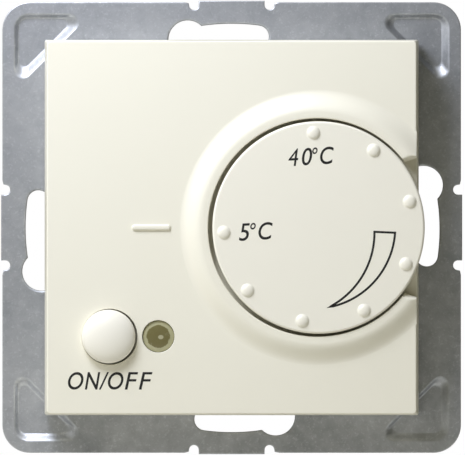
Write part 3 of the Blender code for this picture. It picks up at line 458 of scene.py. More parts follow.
def mixed(tree, factor, first, second):
    """A colour mix of two sockets or colours."""
    node = tree.nodes.new("ShaderNodeMix")
    node.data_type = "RGBA"
    for label, value in (("Factor", factor), ("A", first), ("B", second)):
        socket = [s for s in node.inputs if s.name == label and s.enabled][0]
        if isinstance(value, (tuple, int, float)):
            socket.default_value = value
        else:
            tree.links.new(value, socket)
    return [s for s in node.outputs if s.enabled][0]


def spangle_group():
    """Galvanised zinc: crystal patches of two sizes, fine mottling and faint rolling lines."""
    group, given, result = new_group(
        "zinc_spangle",
        [
            ("Light", "NodeSocketColor", (0.5, 0.5, 0.5, 1)),
            ("Dark", "NodeSocketColor", (0.3, 0.3, 0.3, 1)),
            ("Crystal Scale", "NodeSocketFloat", 400.0),
        ],
        [("Color", "NodeSocketColor"), ("Roughness", "NodeSocketFloat"), ("Height", "NodeSocketFloat")],
    )
    place = group.nodes.new("ShaderNodeTexCoord").outputs["Object"]
    crystals = group.nodes.new("ShaderNodeTexVoronoi")
    group.links.new(place, crystals.inputs["Vector"])
    group.links.new(given.outputs["Crystal Scale"], crystals.inputs["Scale"])
    tone = group.nodes.new("ShaderNodeSeparateColor")
    group.links.new(crystals.outputs["Color"], tone.inputs["Color"])
    clouds = noise(group, place, 55.0, 3.0, 0.5)
    blotches = noise(group, place, 420.0, 4.0, 0.65)
    specks = ranged(group, noise(group, place, 2400.0, 2.0, 0.6), 0.56, 0.72, 0.0, 0.20)
    patches = maths(group, "MULTIPLY", tone.outputs["Red"], 0.07)
    soft = maths(group, "MULTIPLY", clouds, 0.75)
    mottled = maths(group, "MULTIPLY", blotches, 0.55)
    cloudy = maths(group, "ADD", soft, mottled)
    speckled = maths(group, "ADD", patches, specks)
    total = maths(group, "ADD", cloudy, speckled)
    share = ranged(group, total, 0.42, 1.0, 0.0, 1.0)
    colour = mixed(group, share, given.outputs["Dark"], given.outputs["Light"])
    group.links.new(colour, result.inputs["Color"])
    group.links.new(ranged(group, total, 0.4, 1.0, 0.52, 0.36), result.inputs["Roughness"])
    stretch = group.nodes.new("ShaderNodeMapping")
    stretch.inputs["Scale"].default_value = (1.0, 1.0, 24.0)
    group.links.new(place, stretch.inputs["Vector"])
    lines = noise(group, stretch.outputs["Vector"], 300.0, 2.0, 0.5)
    height = maths(group, "ADD", speckled, maths(group, "MULTIPLY", lines, 0.3))
    group.links.new(height, result.inputs["Height"])
    return group


zinc_spangle = spangle_group()


def use_group(tree, group, values):
    """Places a group in a material with its own values."""
    node = tree.nodes.new("ShaderNodeGroup")
    node.node_tree = group
    for label, value in values.items():
        node.inputs[label].default_value = value
    return node


def new_material(name, roughness=0.5, metallic=0.0):
    """A material with its plain values set. Returns it, its node tree and its shader."""
    material = bpy.data.materials.new(name)
    material.use_nodes = True
    shader = material.node_tree.nodes["Principled BSDF"]
    shader.inputs["Roughness"].default_value = roughness
    shader.inputs["Metallic"].default_value = metallic
    return material, material.node_tree, shader


def raise_bumps(tree, shader, height, strength, distance):
    """Gives a shader fine relief from a height socket."""
    bump = tree.nodes.new("ShaderNodeBump")
    bump.inputs["Strength"].default_value = strength
    bump.inputs["Distance"].default_value = distance
    tree.links.new(height, bump.inputs["Height"])
    tree.links.new(bump.outputs["Normal"], shader.inputs["Normal"])


def feed_finish(tree, shader, look, strength, distance):
    """Gives a shader the colour, roughness and relief that a finish group puts out."""
    tree.links.new(look.outputs["Color"], shader.inputs["Base Color"])
    tree.links.new(look.outputs["Roughness"], shader.inputs["Roughness"])
    raise_bumps(tree, shader, look.outputs["Height"], strength, distance)


zinc, zinc_tree, zinc_shader = new_material("galvanised_sheet", metallic=0.75)
zinc_look = use_group(
    zinc_tree,
    zinc_spangle,
    {"Light": (0.66, 0.68, 0.725, 1), "Dark": (0.30, 0.315, 0.34, 1), "Crystal Scale": 900.0},
)
feed_finish(zinc_tree, zinc_shader, zinc_look, 0.25, 0.05 * MM)
plate.data.materials.append(zinc)


# Moulded plastic, for the cover, dial and button.
# Cream thermoplastic with a satin face: very fine moulded texture and faint flow clouds.
def moulded_group():
    """Two plastic tones in faint clouds, with a fine grain."""
    group, given, result = new_group(
        "moulded_plastic",
        [
            ("Color", "NodeSocketColor", (0.8, 0.8, 0.7, 1)),
            ("Shade", "NodeSocketColor", (0.7, 0.7, 0.6, 1)),
            ("Roughness", "NodeSocketFloat", 0.4),
            ("Grain Scale", "NodeSocketFloat", 2500.0),
        ],
        [("Color", "NodeSocketColor"), ("Roughness", "NodeSocketFloat"), ("Height", "NodeSocketFloat")],
    )
    place = group.nodes.new("ShaderNodeTexCoord").outputs["Object"]
    clouds = noise(group, place, 45.0, 3.0, 0.5)
    grain = noise(group, place, given.outputs["Grain Scale"], 3.0, 0.6)
    share = ranged(group, clouds, 0.3, 0.75, 0.0, 0.5)
    grained = maths(group, "MULTIPLY", grain, 0.12)
    shaded = maths(group, "ADD", share, grained)
    colour = mixed(group, shaded, given.outputs["Color"], given.outputs["Shade"])
    group.links.new(colour, result.inputs["Color"])
    wander = ranged(group, clouds, 0.3, 0.7, -0.03, 0.05)
    fine = ranged(group, grain, 0.3, 0.7, -0.03, 0.03)
    rough = maths(group, "ADD", given.outputs["Roughness"], maths(group, "ADD", wander, fine))
    group.links.new(rough, result.inputs["Roughness"])
    group.links.new(grain, result.inputs["Height"])
    return group


moulded_plastic = moulded_group()


def plastic(name, colour, shade, roughness, grain_scale=2500.0, bump=0.12, coat=0.0):
    """A moulded plastic finish from its two tones, its roughness and its grain."""
    material, tree, shader = new_material(name, roughness)
    look = use_group(
        tree,
        moulded_plastic,
        {"Color": (*colour, 1), "Shade": (*shade, 1), "Roughness": roughness, "Grain Scale": grain_scale},
    )
    feed_finish(tree, shader, look, bump, 0.02 * MM)
    shader.inputs["Coat Weight"].default_value = coat
    return material


cream = plastic("cream_cover", (0.90, 0.875, 0.755), (0.875, 0.845, 0.72), 0.34)


# Front cover.
# A cream moulded box, 57 mm square, with a round well for the dial near its right side. The collar
# round the well flares smoothly out of the face, and the well is open to the right for a finger.
cover_low, cover_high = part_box("front_cover")
dial_low, dial_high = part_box("temperature_dial")
DIAL_X = (dial_low.x + dial_high.x) / 2
DIAL_RADIUS = (dial_high.x - dial_low.x) / 2
COVER_BACK = -cover_high.y
COVER_FACE = 12.0 * MM
COLLAR_TOP = -cover_low.y
COVER_DRAFT = 0.45 * MM
SIDE_DRAFT = 0.6 * MM
COVER_WALL = 1.5 * MM
COVER_FRONT_WALL = 1.8 * MM
COVER_EDGE = 0.22 * MM
FACE_CORNER = 0.55 * MM
SKIRT_CORNER = 0.35 * MM
WELL_X = DIAL_X - 0.2 * MM
WELL_RADIUS = DIAL_RADIUS + 0.47 * MM
WELL_FLOOR = 10.4 * MM
WELL_BACK = 8.9 * MM
COLLAR_LIP = 0.9 * MM
COLLAR_FLARE = 3.6 * MM
LIP_EDGE = 0.18 * MM
OPEN_ANGLE = 36.8
OPEN_SPLAY = 0.35  # how fast the opening widens towards the cover's edge
SHOULDER = 1.3 * MM
SHOULDER_LIFT = 0.1 * MM
HUB_HOLE = 5.2 * MM
FAR = 30 * MM
OVERLAP = 0.3 * MM  # how far joined solids reach into each other
HAIR = 0.004 * MM  # keeps faces that would lie in one plane just apart
COLLAR_ROUND = 256  # flats round the dial, its well and the collar
CAP_ROUND = 160
CUP_ROUND = 128
SMALL_ROUND = 96
skirt_x = cover_high.x + SIDE_DRAFT - COVER_DRAFT
skirt_z = cover_high.z
face_x = skirt_x - SIDE_DRAFT
face_z = skirt_z - COVER_DRAFT


def solid(name, mesh):
    """Makes a bmesh an object, as a step towards a shown piece."""
    bmesh.ops.recalc_face_normals(mesh, faces=mesh.faces)
    data = bpy.data.meshes.new(name)
    mesh.to_mesh(data)
    mesh.free()
    made = bpy.data.objects.new(name, data)
    bpy.context.scene.collection.objects.link(made)
    return made


def stacked(name, rings):
    """A solid through outlines at their depths, closed at both ends."""
    mesh = bmesh.new()
    first, last = ring_wall(mesh, rings)
    mesh.faces.new(first)
    mesh.faces.new(last)
    return solid(name, mesh)


def turned(name, profile, segments, x=0.0, z=0.0):
    """Turns (radius, depth) points about an axis along Y through (x, z). Both ends lie on the axis."""
    mesh = bmesh.new()
    rings = []
    for radius, depth in profile:
        if radius == 0:
            rings.append([mesh.verts.new((x, -depth, z))])
        else:
            rings.append([mesh.verts.new((px, -depth, pz)) for px, pz in circle(radius, segments, x, z)])
    for one, other in zip(rings, rings[1:]):
        for i in range(segments):
            j = (i + 1) % segments
            near = [one[i % len(one)], one[j % len(one)]]
            away = [other[j % len(other)], other[i % len(other)]]
            mesh.faces.new(list(dict.fromkeys(near + away)))
    return solid(name, mesh)


def boolean(target, tools, operation):
    """Applies Booleans with each tool in turn and removes the tools."""
    for tool in tools:
        modifier = target.modifiers.new(operation, "BOOLEAN")
        modifier.operation = operation
        modifier.solver = "EXACT"
        modifier.object = tool
        bpy.context.view_layer.update()
        evaluated = target.evaluated_get(bpy.context.evaluated_depsgraph_get())
        data = bpy.data.meshes.new_from_object(evaluated)
        target.modifiers.clear()
        target.data = data
        bpy.data.objects.remove(tool)
    return target


def rounded_box_rings(top, edge, steps=6):
    """Rings for the cover's outer body up to a given top, with a rounded front edge."""
    rings = [(rounded(2 * skirt_x, 2 * skirt_z, SKIRT_CORNER), COVER_BACK)]
    rise = COVER_FACE - COVER_BACK
    for inward, down in quarter_round(steps):
        depth = top - edge * down
        inset = edge * inward
        share = (depth - COVER_BACK) / rise
        width = 2 * (skirt_x - SIDE_DRAFT * share - inset)
        height = 2 * (skirt_z - COVER_DRAFT * share - inset)
        rings.append((rounded(width, height, max(FACE_CORNER - inset * 0.6, 0.15 * MM)), depth))
    return rings


def flared_mouth(radius, floor, face, edge, steps=6):
    """The profile of a round cutter whose mouth leaves a rounded edge at the face."""
    profile = [(0, floor), (radius, floor)]
    profile += [(radius + edge * out, face - edge * down) for out, down in quarter_round(steps)]
    profile += [(radius + edge, face + FAR), (0, face + FAR)]
    return profile


cover = stacked("cover", rounded_box_rings(COVER_FACE, COVER_EDGE))
lip = WELL_RADIUS + COLLAR_LIP
profile = [(0, WELL_FLOOR), (lip + COLLAR_FLARE, WELL_FLOOR)]
FLARE_STEPS = 28
for step in range(FLARE_STEPS + 1):
    share = step / FLARE_STEPS
    rise = (COLLAR_TOP - COVER_FACE) * (1 - math.cos(math.pi * share)) / 2
    profile.append((lip + COLLAR_FLARE * (1 - share), COVER_FACE - HAIR + rise))
profile.append((0, COLLAR_TOP - HAIR))
collar = turned("collar", profile, COLLAR_ROUND, WELL_X)
envelope = stacked("envelope", rounded_box_rings(COLLAR_TOP + 2 * COVER_EDGE, COVER_EDGE))
boolean(collar, [envelope], "INTERSECT")
boolean(cover, [collar], "UNION")
inner = rounded(2 * (face_x - COVER_WALL), 2 * (face_z - COVER_WALL), FACE_CORNER)
ceiling = COVER_FACE - COVER_FRONT_WALL
hollow = stacked("hollow", [(inner, -FAR), (inner, ceiling)])
cup_radius = WELL_RADIUS + COVER_WALL
cup_front = ceiling + OVERLAP
cup_profile = [(0, WELL_BACK), (cup_radius, WELL_BACK), (cup_radius, cup_front), (0, cup_front)]
cup = turned("cup", cup_profile, CUP_ROUND, WELL_X)
keep = rounded(2 * face_x - COVER_WALL, 2 * face_z - COVER_WALL, FACE_CORNER)
boolean(cup, [stacked("keep", [(keep, 0.0), (keep, FAR)])], "INTERSECT")
screw_low, screw_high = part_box("cover_screw")
SCREW_X = (screw_low.x + screw_high.x) / 2
SCREW_HEAD = (screw_high.x - screw_low.x) / 2
SCREW_TOP = -screw_low.y
TOWER_BACK = 5.3 * MM
TOWER_RADIUS = SCREW_HEAD + COVER_WALL
TOWER_DROP = 0.1 * MM
tower_front = WELL_FLOOR - TOWER_DROP
tower = [(0, TOWER_BACK), (TOWER_RADIUS, TOWER_BACK), (TOWER_RADIUS, tower_front), (0, tower_front)]
boolean(cover, [hollow], "DIFFERENCE")
boolean(cover, [cup, turned("tower", tower, SMALL_ROUND, SCREW_X)], "UNION")
mouth = flared_mouth(WELL_RADIUS, WELL_FLOOR, COLLAR_TOP - HAIR, LIP_EDGE)
boolean(cover, [turned("well", mouth, COLLAR_ROUND, WELL_X)], "DIFFERENCE")


def opening_section(x, steps=10):
    """The open side's outline at one place along X: a channel whose mouth leaves round shoulders."""
    start_x = WELL_X + WELL_RADIUS * math.cos(math.radians(OPEN_ANGLE))
    reach = WELL_RADIUS * math.sin(math.radians(OPEN_ANGLE)) + OPEN_SPLAY * (x - start_x)
    top = COLLAR_TOP + SHOULDER_LIFT
    half = [(reach, WELL_FLOOR)]
    half += [(reach + SHOULDER * out, top - SHOULDER * down) for out, down in quarter_round(steps)]
    half.append((reach + SHOULDER, FAR))
    return half + [(-across, depth) for across, depth in reversed(half)]


def opening_block():
    """Cutter for the open right side, splayed towards the cover's edge."""
    mesh = bmesh.new()
    ends = []
    for x in (WELL_X + WELL_RADIUS * 0.6, skirt_x + MM):
        ends.append([mesh.verts.new((x, -depth, across)) for across, depth in opening_section(x)])
        mesh.faces.new(ends[-1])
    count = len(ends[0])
    for i in range(count):
        j = (i + 1) % count
        mesh.faces.new((ends[0][i], ends[0][j], ends[1][j], ends[1][i]))
    return solid("opening", mesh)


boolean(cover, [opening_block()], "DIFFERENCE")
through = [(0, 0), (HUB_HOLE, 0), (HUB_HOLE, FAR), (0, FAR)]
boolean(cover, [turned("hub_hole", through, SMALL_ROUND, DIAL_X)], "DIFFERENCE")
HEAD_HEIGHT = 1.5 * MM
HEAD_ROOM = 0.3 * MM
SHANK_ROOM = 1.6 * MM
SEAT_GAP = 0.1 * MM
seat = SCREW_TOP - HEAD_HEIGHT - SEAT_GAP
sunk = SCREW_HEAD + HEAD_ROOM
stepped = [(0, 0), (SHANK_ROOM, 0), (SHANK_ROOM, seat), (sunk, seat), (sunk, FAR), (0, FAR)]
boolean(cover, [turned("screw_seat", stepped, SMALL_ROUND, SCREW_X)], "DIFFERENCE")

button_low, button_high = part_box("button_cap")
BUTTON_X = (button_low.x + button_high.x) / 2
BUTTON_Z = (button_low.z + button_high.z) / 2
BUTTON_RADIUS = 4.1 * MM
HOLE_RADIUS = 4.27 * MM
HOLE_SHIFT = (0.155 * MM, -0.05 * MM)
HOLE_EDGE = 0.10 * MM
hole = flared_mouth(HOLE_RADIUS, 0.0, COVER_FACE, HOLE_EDGE)
hole_place = (BUTTON_X + HOLE_SHIFT[0], BUTTON_Z + HOLE_SHIFT[1])
boolean(cover, [turned("hole", hole, CAP_ROUND, *hole_place)], "DIFFERENCE")

lamp_low, lamp_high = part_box("status_led")
LAMP_X = (lamp_low.x + lamp_high.x) / 2
LAMP_Z = (lamp_low.z + lamp_high.z) / 2
LAMP_HOLE = 2.47 * MM
LAMP_HOLE_EDGE = 0.10 * MM
hole = flared_mouth(LAMP_HOLE, 0.0, COVER_FACE, LAMP_HOLE_EDGE)
boolean(cover, [turned("hole", hole, CUP_ROUND, LAMP_X, LAMP_Z)], "DIFFERENCE")

INDEX_X = -12.3 * MM
INDEX_LENGTH = 6.0 * MM
INDEX_HEIGHT = 0.95 * MM
INDEX_RISE = 0.4 * MM
INDEX_STEPS = 6
INDEX_ROUND = 0.98  # of half the mark's height, kept short of a full half circle
INDEX_END_STEPS = 8


def index_outline(inset):
    """The raised mark's outline, drawn in by inset."""
    length = INDEX_LENGTH - 2 * inset
    height = INDEX_HEIGHT - 2 * inset
    return rounded(length, height, height / 2 * INDEX_ROUND, INDEX_END_STEPS, INDEX_X)


rings = [(index_outline(0), COVER_FACE - OVERLAP)]
for step in range(INDEX_STEPS):
    angle = math.radians(80 * step / (INDEX_STEPS - 1))
    inset = INDEX_HEIGHT * 0.42 * (1 - math.cos(angle))
    rings.append((index_outline(inset), COVER_FACE + INDEX_RISE * math.sin(angle)))
boolean(cover, [stacked("index", rings)], "UNION")
settle(cover, "case", ["front_cover"])
cover.data.materials.clear()
cover.data.materials.append(cream)


# Printed lettering.
# Black ink pad-printed on the plastic, a few hundredths of a millimetre thick: sloping sans letters
# under the push button and on the dial, with a drawn crescent that shows which way is warmer.
INK_THICKNESS = 0.02 * MM
INK_SINK = 0.01 * MM
INK_LEAN = 0.22
INK_SWELL = 0.003
WIDE_FINER = 0.03  # how much finer a letter's strokes are made as it is widened
DEGREE_SHARE = 0.38  # of the letters' height
ink_paint, ink_tree, ink_shader = new_material("printing_ink", 0.42)
ink_place = ink_tree.nodes.new("ShaderNodeTexCoord").outputs["Object"]
ink_cloud = noise(ink_tree, ink_place, 1800.0, 3.0, 0.6)
ink_colour = mixed(ink_tree, ink_cloud, (0.006, 0.006, 0.007, 1), (0.020, 0.020, 0.018, 1))
ink_tree.links.new(ink_colour, ink_shader.inputs["Base Color"])
ink_tree.links.new(ranged(ink_tree, ink_cloud, 0.3, 0.7, 0.36, 0.50), ink_shader.inputs["Roughness"])


def letter_shape(letter, swell=0.0):
    """A sloping letter's flat outline, its strokes made a little bolder or finer."""
    data = bpy.data.curves.new("letter", "FONT")
    data.body = letter
    data.shear = INK_LEAN
    data.offset = swell
    made = bpy.data.objects.new("letter", data)
    bpy.context.scene.collection.objects.link(made)
    bpy.context.view_layer.update()
    flat = bpy.data.meshes.new_from_object(made.evaluated_get(bpy.context.evaluated_depsgraph_get()))
    bpy.data.objects.remove(made)
    return flat


def extent(flat):
    """The lowest and highest corners of a flat outline."""
    points = [point.co.xy for point in flat.vertices]
    return [min(p[i] for p in points) for i in (0, 1)], [max(p[i] for p in points) for i in (0, 1)]


def lettering(name, letters, height, face, corner, tilt, body):
    """Raises letters in ink on a face. Each is given with its left edge and width, along a tilted line."""
    turn = Matrix.Rotation(math.radians(tilt), 2)
    ink = bmesh.new()
    for letter, left, width in letters:
        degree = letter == "\u00b0"
        tall = height * (DEGREE_SHARE if degree else 1.0)
        low, high = extent(letter_shape(letter))
        widening = (width / (high[0] - low[0])) / (tall / (high[1] - low[1]))
        swell = INK_SWELL - WIDE_FINER * (widening - 1)
        if letter == "4":
            swell = min(swell, 0.0)  # this figure's inside closes up when it is made bolder
        flat = letter_shape(letter, swell)
        low, high = extent(flat)
        for point in flat.vertices:
            x = left + width * (point.co.x - low[0]) / (high[0] - low[0])
            z = tall * (point.co.y - low[1]) / (high[1] - low[1]) + (height - tall if degree else 0)
            x, z = turn @ Vector((x, z))
            point.co = (corner[0] + x, -(face - INK_SINK), corner[1] + z)
        ink.from_mesh(flat)
    bmesh.ops.remove_doubles(ink, verts=ink.verts, dist=1e-6)
    top = bmesh.ops.extrude_face_region(ink, geom=ink.faces[:])
    raised = [part for part in top["geom"] if isinstance(part, bmesh.types.BMVert)]
    bmesh.ops.translate(ink, verts=raised, vec=(0, -INK_THICKNESS, 0))
    piece = to_piece(name, ink, body)
    piece.data.materials.append(ink_paint)
    return piece


WORDS = [
    ("O", 0.0, 2.38 * MM),
    ("N", 2.59 * MM, 2.36 * MM),
    ("/", 4.74 * MM, 1.55 * MM),
    ("O", 6.12 * MM, 2.39 * MM),
    ("F", 8.70 * MM, 2.05 * MM),
    ("F", 10.86 * MM, 2.09 * MM),
]
WORDS_CORNER = (-25.09 * MM, -24.84 * MM)
WORDS_HEIGHT = 2.68 * MM
lettering("on_off_lettering", WORDS, WORDS_HEIGHT, COVER_FACE, WORDS_CORNER, 0.0, "case")


# Temperature dial.
# A cream disc, hollow behind, with a hub that grips the potentiometer's shaft. Eight small domes stand
# near its rim to be felt by the finger, and it turns through three quarters of a turn.
DIAL_FACE = -dial_low.y - 0.45 * MM
DIAL_BACK = 10.7 * MM
DIAL_EDGE = 0.38 * MM
DIAL_RIM = 1.6 * MM
DIAL_SKIN = 1.6 * MM
HUB_RADIUS = 4.7 * MM
HUB_BACK = -dial_high.y
BORE_RADIUS = 3.3 * MM
DOME_RADIUS = 0.97 * MM
DOME_RISE = 0.45 * MM
DOME_FILLET = 0.16 * MM
DOME_RING = DIAL_RADIUS - 1.75 * MM
DOME_COUNT = 8
DOME_FIRST = 183.0
DOME_SPAN = 270.0
DOME_ROUND = 40
DOME_LIFT = 0.003 * MM  # the fillet starts just clear of the dial's face
FILLET_STEPS = 4
DOME_STEPS = 9
DIAL_EDGE_STEPS = 8
DIAL_BEVEL = 0.15 * MM
inside = DIAL_FACE - DIAL_SKIN
profile = [(0, DIAL_FACE)]
for inward, down in reversed(quarter_round(DIAL_EDGE_STEPS)):
    profile.append((DIAL_RADIUS - DIAL_EDGE * inward, DIAL_FACE - DIAL_EDGE * down))
profile += [
    (DIAL_RADIUS, DIAL_BACK + DIAL_BEVEL),
    (DIAL_RADIUS - DIAL_BEVEL, DIAL_BACK),
    (DIAL_RADIUS - DIAL_RIM, DIAL_BACK),
    (DIAL_RADIUS - DIAL_RIM, inside),
    (HUB_RADIUS, inside),
    (HUB_RADIUS, HUB_BACK),
    (BORE_RADIUS, HUB_BACK),
    (BORE_RADIUS, inside),
    (0, inside),
]
dial = turned("dial", profile, COLLAR_ROUND, DIAL_X)
for number in range(DOME_COUNT):
    angle = math.radians(DOME_FIRST + DOME_SPAN * number / (DOME_COUNT - 1))
    x = DIAL_X + DOME_RING * math.cos(angle)
    z = DOME_RING * math.sin(angle)
    foot = DOME_RADIUS + DOME_FILLET
    profile = [(0, DIAL_FACE - OVERLAP), (foot, DIAL_FACE - OVERLAP)]
    for step in range(FILLET_STEPS):
        angle = math.radians(70 * step / FILLET_STEPS)
        up = DOME_LIFT + 0.5 * DOME_FILLET * (1 - math.cos(angle))
        profile.append((foot - DOME_FILLET * math.sin(angle), DIAL_FACE + up))
    for step in range(1, DOME_STEPS):
        angle = math.radians(20 + 70 * step / DOME_STEPS)
        profile.append((DOME_RADIUS * math.cos(angle), DIAL_FACE + DOME_RISE * math.sin(angle)))
    profile.append((0, DIAL_FACE + DOME_RISE))
    boolean(dial, [turned("dome", profile, DOME_ROUND, x, z)], "UNION")
settle(dial, "dial", ["temperature_dial"], 30)
dial_cream = plastic("cream_dial", (0.92, 0.895, 0.785), (0.90, 0.87, 0.76), 0.36)
dial.data.materials.clear()
dial.data.materials.append(dial_cream)

LOW_MARK = [("5", 0.0, 1.81 * MM), ("\u00b0", 1.84 * MM, 0.86 * MM), ("C", 3.04 * MM, 2.25 * MM)]
LOW_CORNER = (DIAL_X - 12.18 * MM, -2.08 * MM)
HIGH_MARK = [
    ("4", 0.0, 1.56 * MM),
    ("0", 2.07 * MM, 1.63 * MM),
    ("\u00b0", 3.72 * MM, 0.83 * MM),
    ("C", 4.86 * MM, 2.17 * MM),
]
HIGH_CORNER = (DIAL_X - 4.57 * MM, 9.36 * MM)
MARK_HEIGHT = 2.66 * MM
MARK_TILT = 3.2
lettering("low_mark", LOW_MARK, MARK_HEIGHT, DIAL_FACE, LOW_CORNER, MARK_TILT, "dial")
lettering("high_mark", HIGH_MARK, MARK_HEIGHT, DIAL_FACE, HIGH_CORNER, MARK_TILT, "dial")

CRESCENT_STROKE = 0.33 * MM
CRESCENT_TIP = (1.56 * MM, -12.20 * MM)
CRESCENT_INSIDE = [(8.54 * MM, -0.66 * MM), (6.26 * MM, -8.10 * MM)]
CRESCENT_OUTSIDE = [(11.70 * MM, -0.80 * MM), (7.80 * MM, -9.02 * MM)]
CRESCENT_STEPS = 24


def arc_through(first, second, third, steps):
    """Points on the circle through three points, from the first to the third."""
    ax, az = first
    bx, bz = second[0] - ax, second[1] - az
    cx, cz = third[0] - ax, third[1] - az
    twice = 2 * (bx * cz - bz * cx)
    x = (cz * (bx * bx + bz * bz) - bz * (cx * cx + cz * cz)) / twice
    z = (bx * (cx * cx + cz * cz) - cx * (bx * bx + bz * bz)) / twice
    start = math.degrees(math.atan2(-z, -x))
    end = math.degrees(math.atan2(cz - z, cx - x))
    end += 360 * round((start - end) / 360)
    return arc(ax + x, az + z, math.hypot(x, z), start, end, steps)


down = arc_through(CRESCENT_INSIDE[0], CRESCENT_INSIDE[1], CRESCENT_TIP, CRESCENT_STEPS)
back_up = arc_through(CRESCENT_TIP, CRESCENT_OUTSIDE[1], CRESCENT_OUTSIDE[0], CRESCENT_STEPS)
crescent = [(DIAL_X + x, z) for x, z in down + back_up[1:]]
outside = drawn_in(crescent, -CRESCENT_STROKE / 2)
inside = drawn_in(crescent, CRESCENT_STROKE / 2)
crescent_mesh = bmesh.new()
rings = [
    (outside, DIAL_FACE - INK_SINK),
    (outside, DIAL_FACE - INK_SINK + INK_THICKNESS),
    (inside, DIAL_FACE - INK_SINK + INK_THICKNESS),
    (inside, DIAL_FACE - INK_SINK),
    (outside, DIAL_FACE - INK_SINK),
]
ring_wall(crescent_mesh, rings)
bmesh.ops.remove_doubles(crescent_mesh, verts=crescent_mesh.verts, dist=1e-7)
crescent_piece = to_piece("warmer_crescent", crescent_mesh, "dial")
crescent_piece.data.materials.append(ink_paint)


# Push button.
# A domed cap of the same plastic as the cover, polished a little brighter, with a flange behind the
# cover's face that keeps it in its hole. It travels 1.2 mm onto the switch behind it.
BUTTON_TOP = -button_low.y
BUTTON_DOME = 1.75 * MM
BUTTON_BACK = -button_high.y
FLANGE = (button_high.x - button_low.x) / 2
FLANGE_GAP = 0.3 * MM
FLANGE_FRONT = ceiling - FLANGE_GAP
BUTTON_STEPS = 20


def domed(radius, top, rise, steps):
    """Profile points up a dome, from its rim to its middle."""
    points = [(radius * (1 - inward), top - rise * down) for inward, down in quarter_round(steps)]
    return points[:-1] + [(0, top)]


profile = [(0, BUTTON_BACK), (FLANGE, BUTTON_BACK), (FLANGE, FLANGE_FRONT), (BUTTON_RADIUS, FLANGE_FRONT)]
profile += domed(BUTTON_RADIUS, BUTTON_TOP, BUTTON_DOME, BUTTON_STEPS)
button = turned("push_button", profile, CAP_ROUND, BUTTON_X, BUTTON_Z)
settle(button, "button", ["button_cap"], 50)
button_cream = plastic("cream_button", (0.93, 0.905, 0.81), (0.91, 0.88, 0.775), 0.30, 2500.0, 0.08)
button.data.materials.append(button_cream)


# Indicator lamp.
# A 5 mm lamp in clear resin, set a little below the cover's face. Its colour is painted light and shade: a
# dark core of painted shade with a slightly ragged edge, an olive ring of painted shade round it, and a
# small painted highlight.
LENS_RADIUS = 2.41 * MM
LENS_TOP = COVER_FACE - 0.12 * MM
LENS_DOME = 0.36 * MM
LENS_BACK = LENS_TOP - 5.3 * MM
# Where the lens's painted light lies: the radius of its core of painted shade, and the place and size of
# its painted highlight.
SHADE_CORE_RADIUS = 1.75 * MM
HIGHLIGHT_OFFSET = (0.38 * MM, -0.10 * MM)
HIGHLIGHT_RADIUS = 0.34 * MM
LENS_STEPS = 12
LEG_SPREAD = 1.27 * MM
LEG_WIDTH = 0.5 * MM
LEG_SINK = 0.2 * MM
profile = [(0, LENS_BACK), (LENS_RADIUS, LENS_BACK)]
profile += domed(LENS_RADIUS, LENS_TOP, LENS_DOME, LENS_STEPS)
lens = turned("lamp_lens", profile, SMALL_ROUND, LAMP_X, LAMP_Z)


def block(name, low, high):
    """A block between two corners, each (x, depth, z)."""
    outline = [(high[0], high[2]), (low[0], high[2]), (low[0], low[2]), (high[0], low[2])]
    return stacked(name, [(outline, low[1]), (outline, high[1])])


legs = []
half = LEG_WIDTH / 2
for x in (LAMP_X - LEG_SPREAD, LAMP_X + LEG_SPREAD):
    low = (x - half, -lamp_high.y, LAMP_Z - half)
    legs.append(block("leg", low, (x + half, LENS_BACK + LEG_SINK, LAMP_Z + half)))
boolean(lens, legs, "UNION")
settle(lens, "case", ["status_led"], 50)
resin, resin_tree, resin_shader = new_material("lens_resin_painted_light", 0.22)
resin_place = resin_tree.nodes.new("ShaderNodeTexCoord").outputs["Object"]


def distance_from(tree, place, centre, squash):
    """Distance over the face from a centre line along Y, stretched up and down by squash."""
    moved = tree.nodes.new("ShaderNodeVectorMath")
    moved.operation = "SUBTRACT"
    moved.inputs[1].default_value = (centre[0], 0, centre[1])
    tree.links.new(place, moved.inputs[0])
    scaled = tree.nodes.new("ShaderNodeVectorMath")
    scaled.operation = "MULTIPLY"
    scaled.inputs[1].default_value = (1, 0, squash)
    tree.links.new(moved.outputs["Vector"], scaled.inputs[0])
    length = tree.nodes.new("ShaderNodeVectorMath")
    length.operation = "LENGTH"
    tree.links.new(scaled.outputs["Vector"], length.inputs[0])
    return length.outputs["Value"]


# The lens's colour is painted light and shade, drawn by distance from its axis: a dark core of painted
# shade with a ragged edge, inside an olive ring of painted shade where the hole's wall shades the lens.
SHADE_CORE_RAGGED = 0.10 * MM
SHADE_CORE_BLUR = 0.06 * MM
HIGHLIGHT_BLUR = 0.12 * MM
rim_noise = noise(resin_tree, resin_place, 1500.0, 2.0, 0.5)
ragged = ranged(resin_tree, rim_noise, 0.3, 0.7, -SHADE_CORE_RAGGED, SHADE_CORE_RAGGED)
from_middle = distance_from(resin_tree, resin_place, (LAMP_X, LAMP_Z), 1.0)
from_axis = maths(resin_tree, "ADD", from_middle, ragged)
in_shaded_ring = ranged(resin_tree, from_axis, SHADE_CORE_RADIUS - SHADE_CORE_BLUR, SHADE_CORE_RADIUS + SHADE_CORE_BLUR, 0.0, 1.0)
lens_cloud = noise(resin_tree, resin_place, 700.0, 3.0, 0.6)
# Painted shade in two tones each: the dark core, then the lighter olive ring.
painted_core_shade = mixed(resin_tree, lens_cloud, (0.150, 0.132, 0.050, 1), (0.195, 0.175, 0.080, 1))
painted_ring_shade = mixed(resin_tree, lens_cloud, (0.40, 0.385, 0.225, 1), (0.47, 0.455, 0.285, 1))
painted_lens_shades = mixed(resin_tree, in_shaded_ring, painted_core_shade, painted_ring_shade)
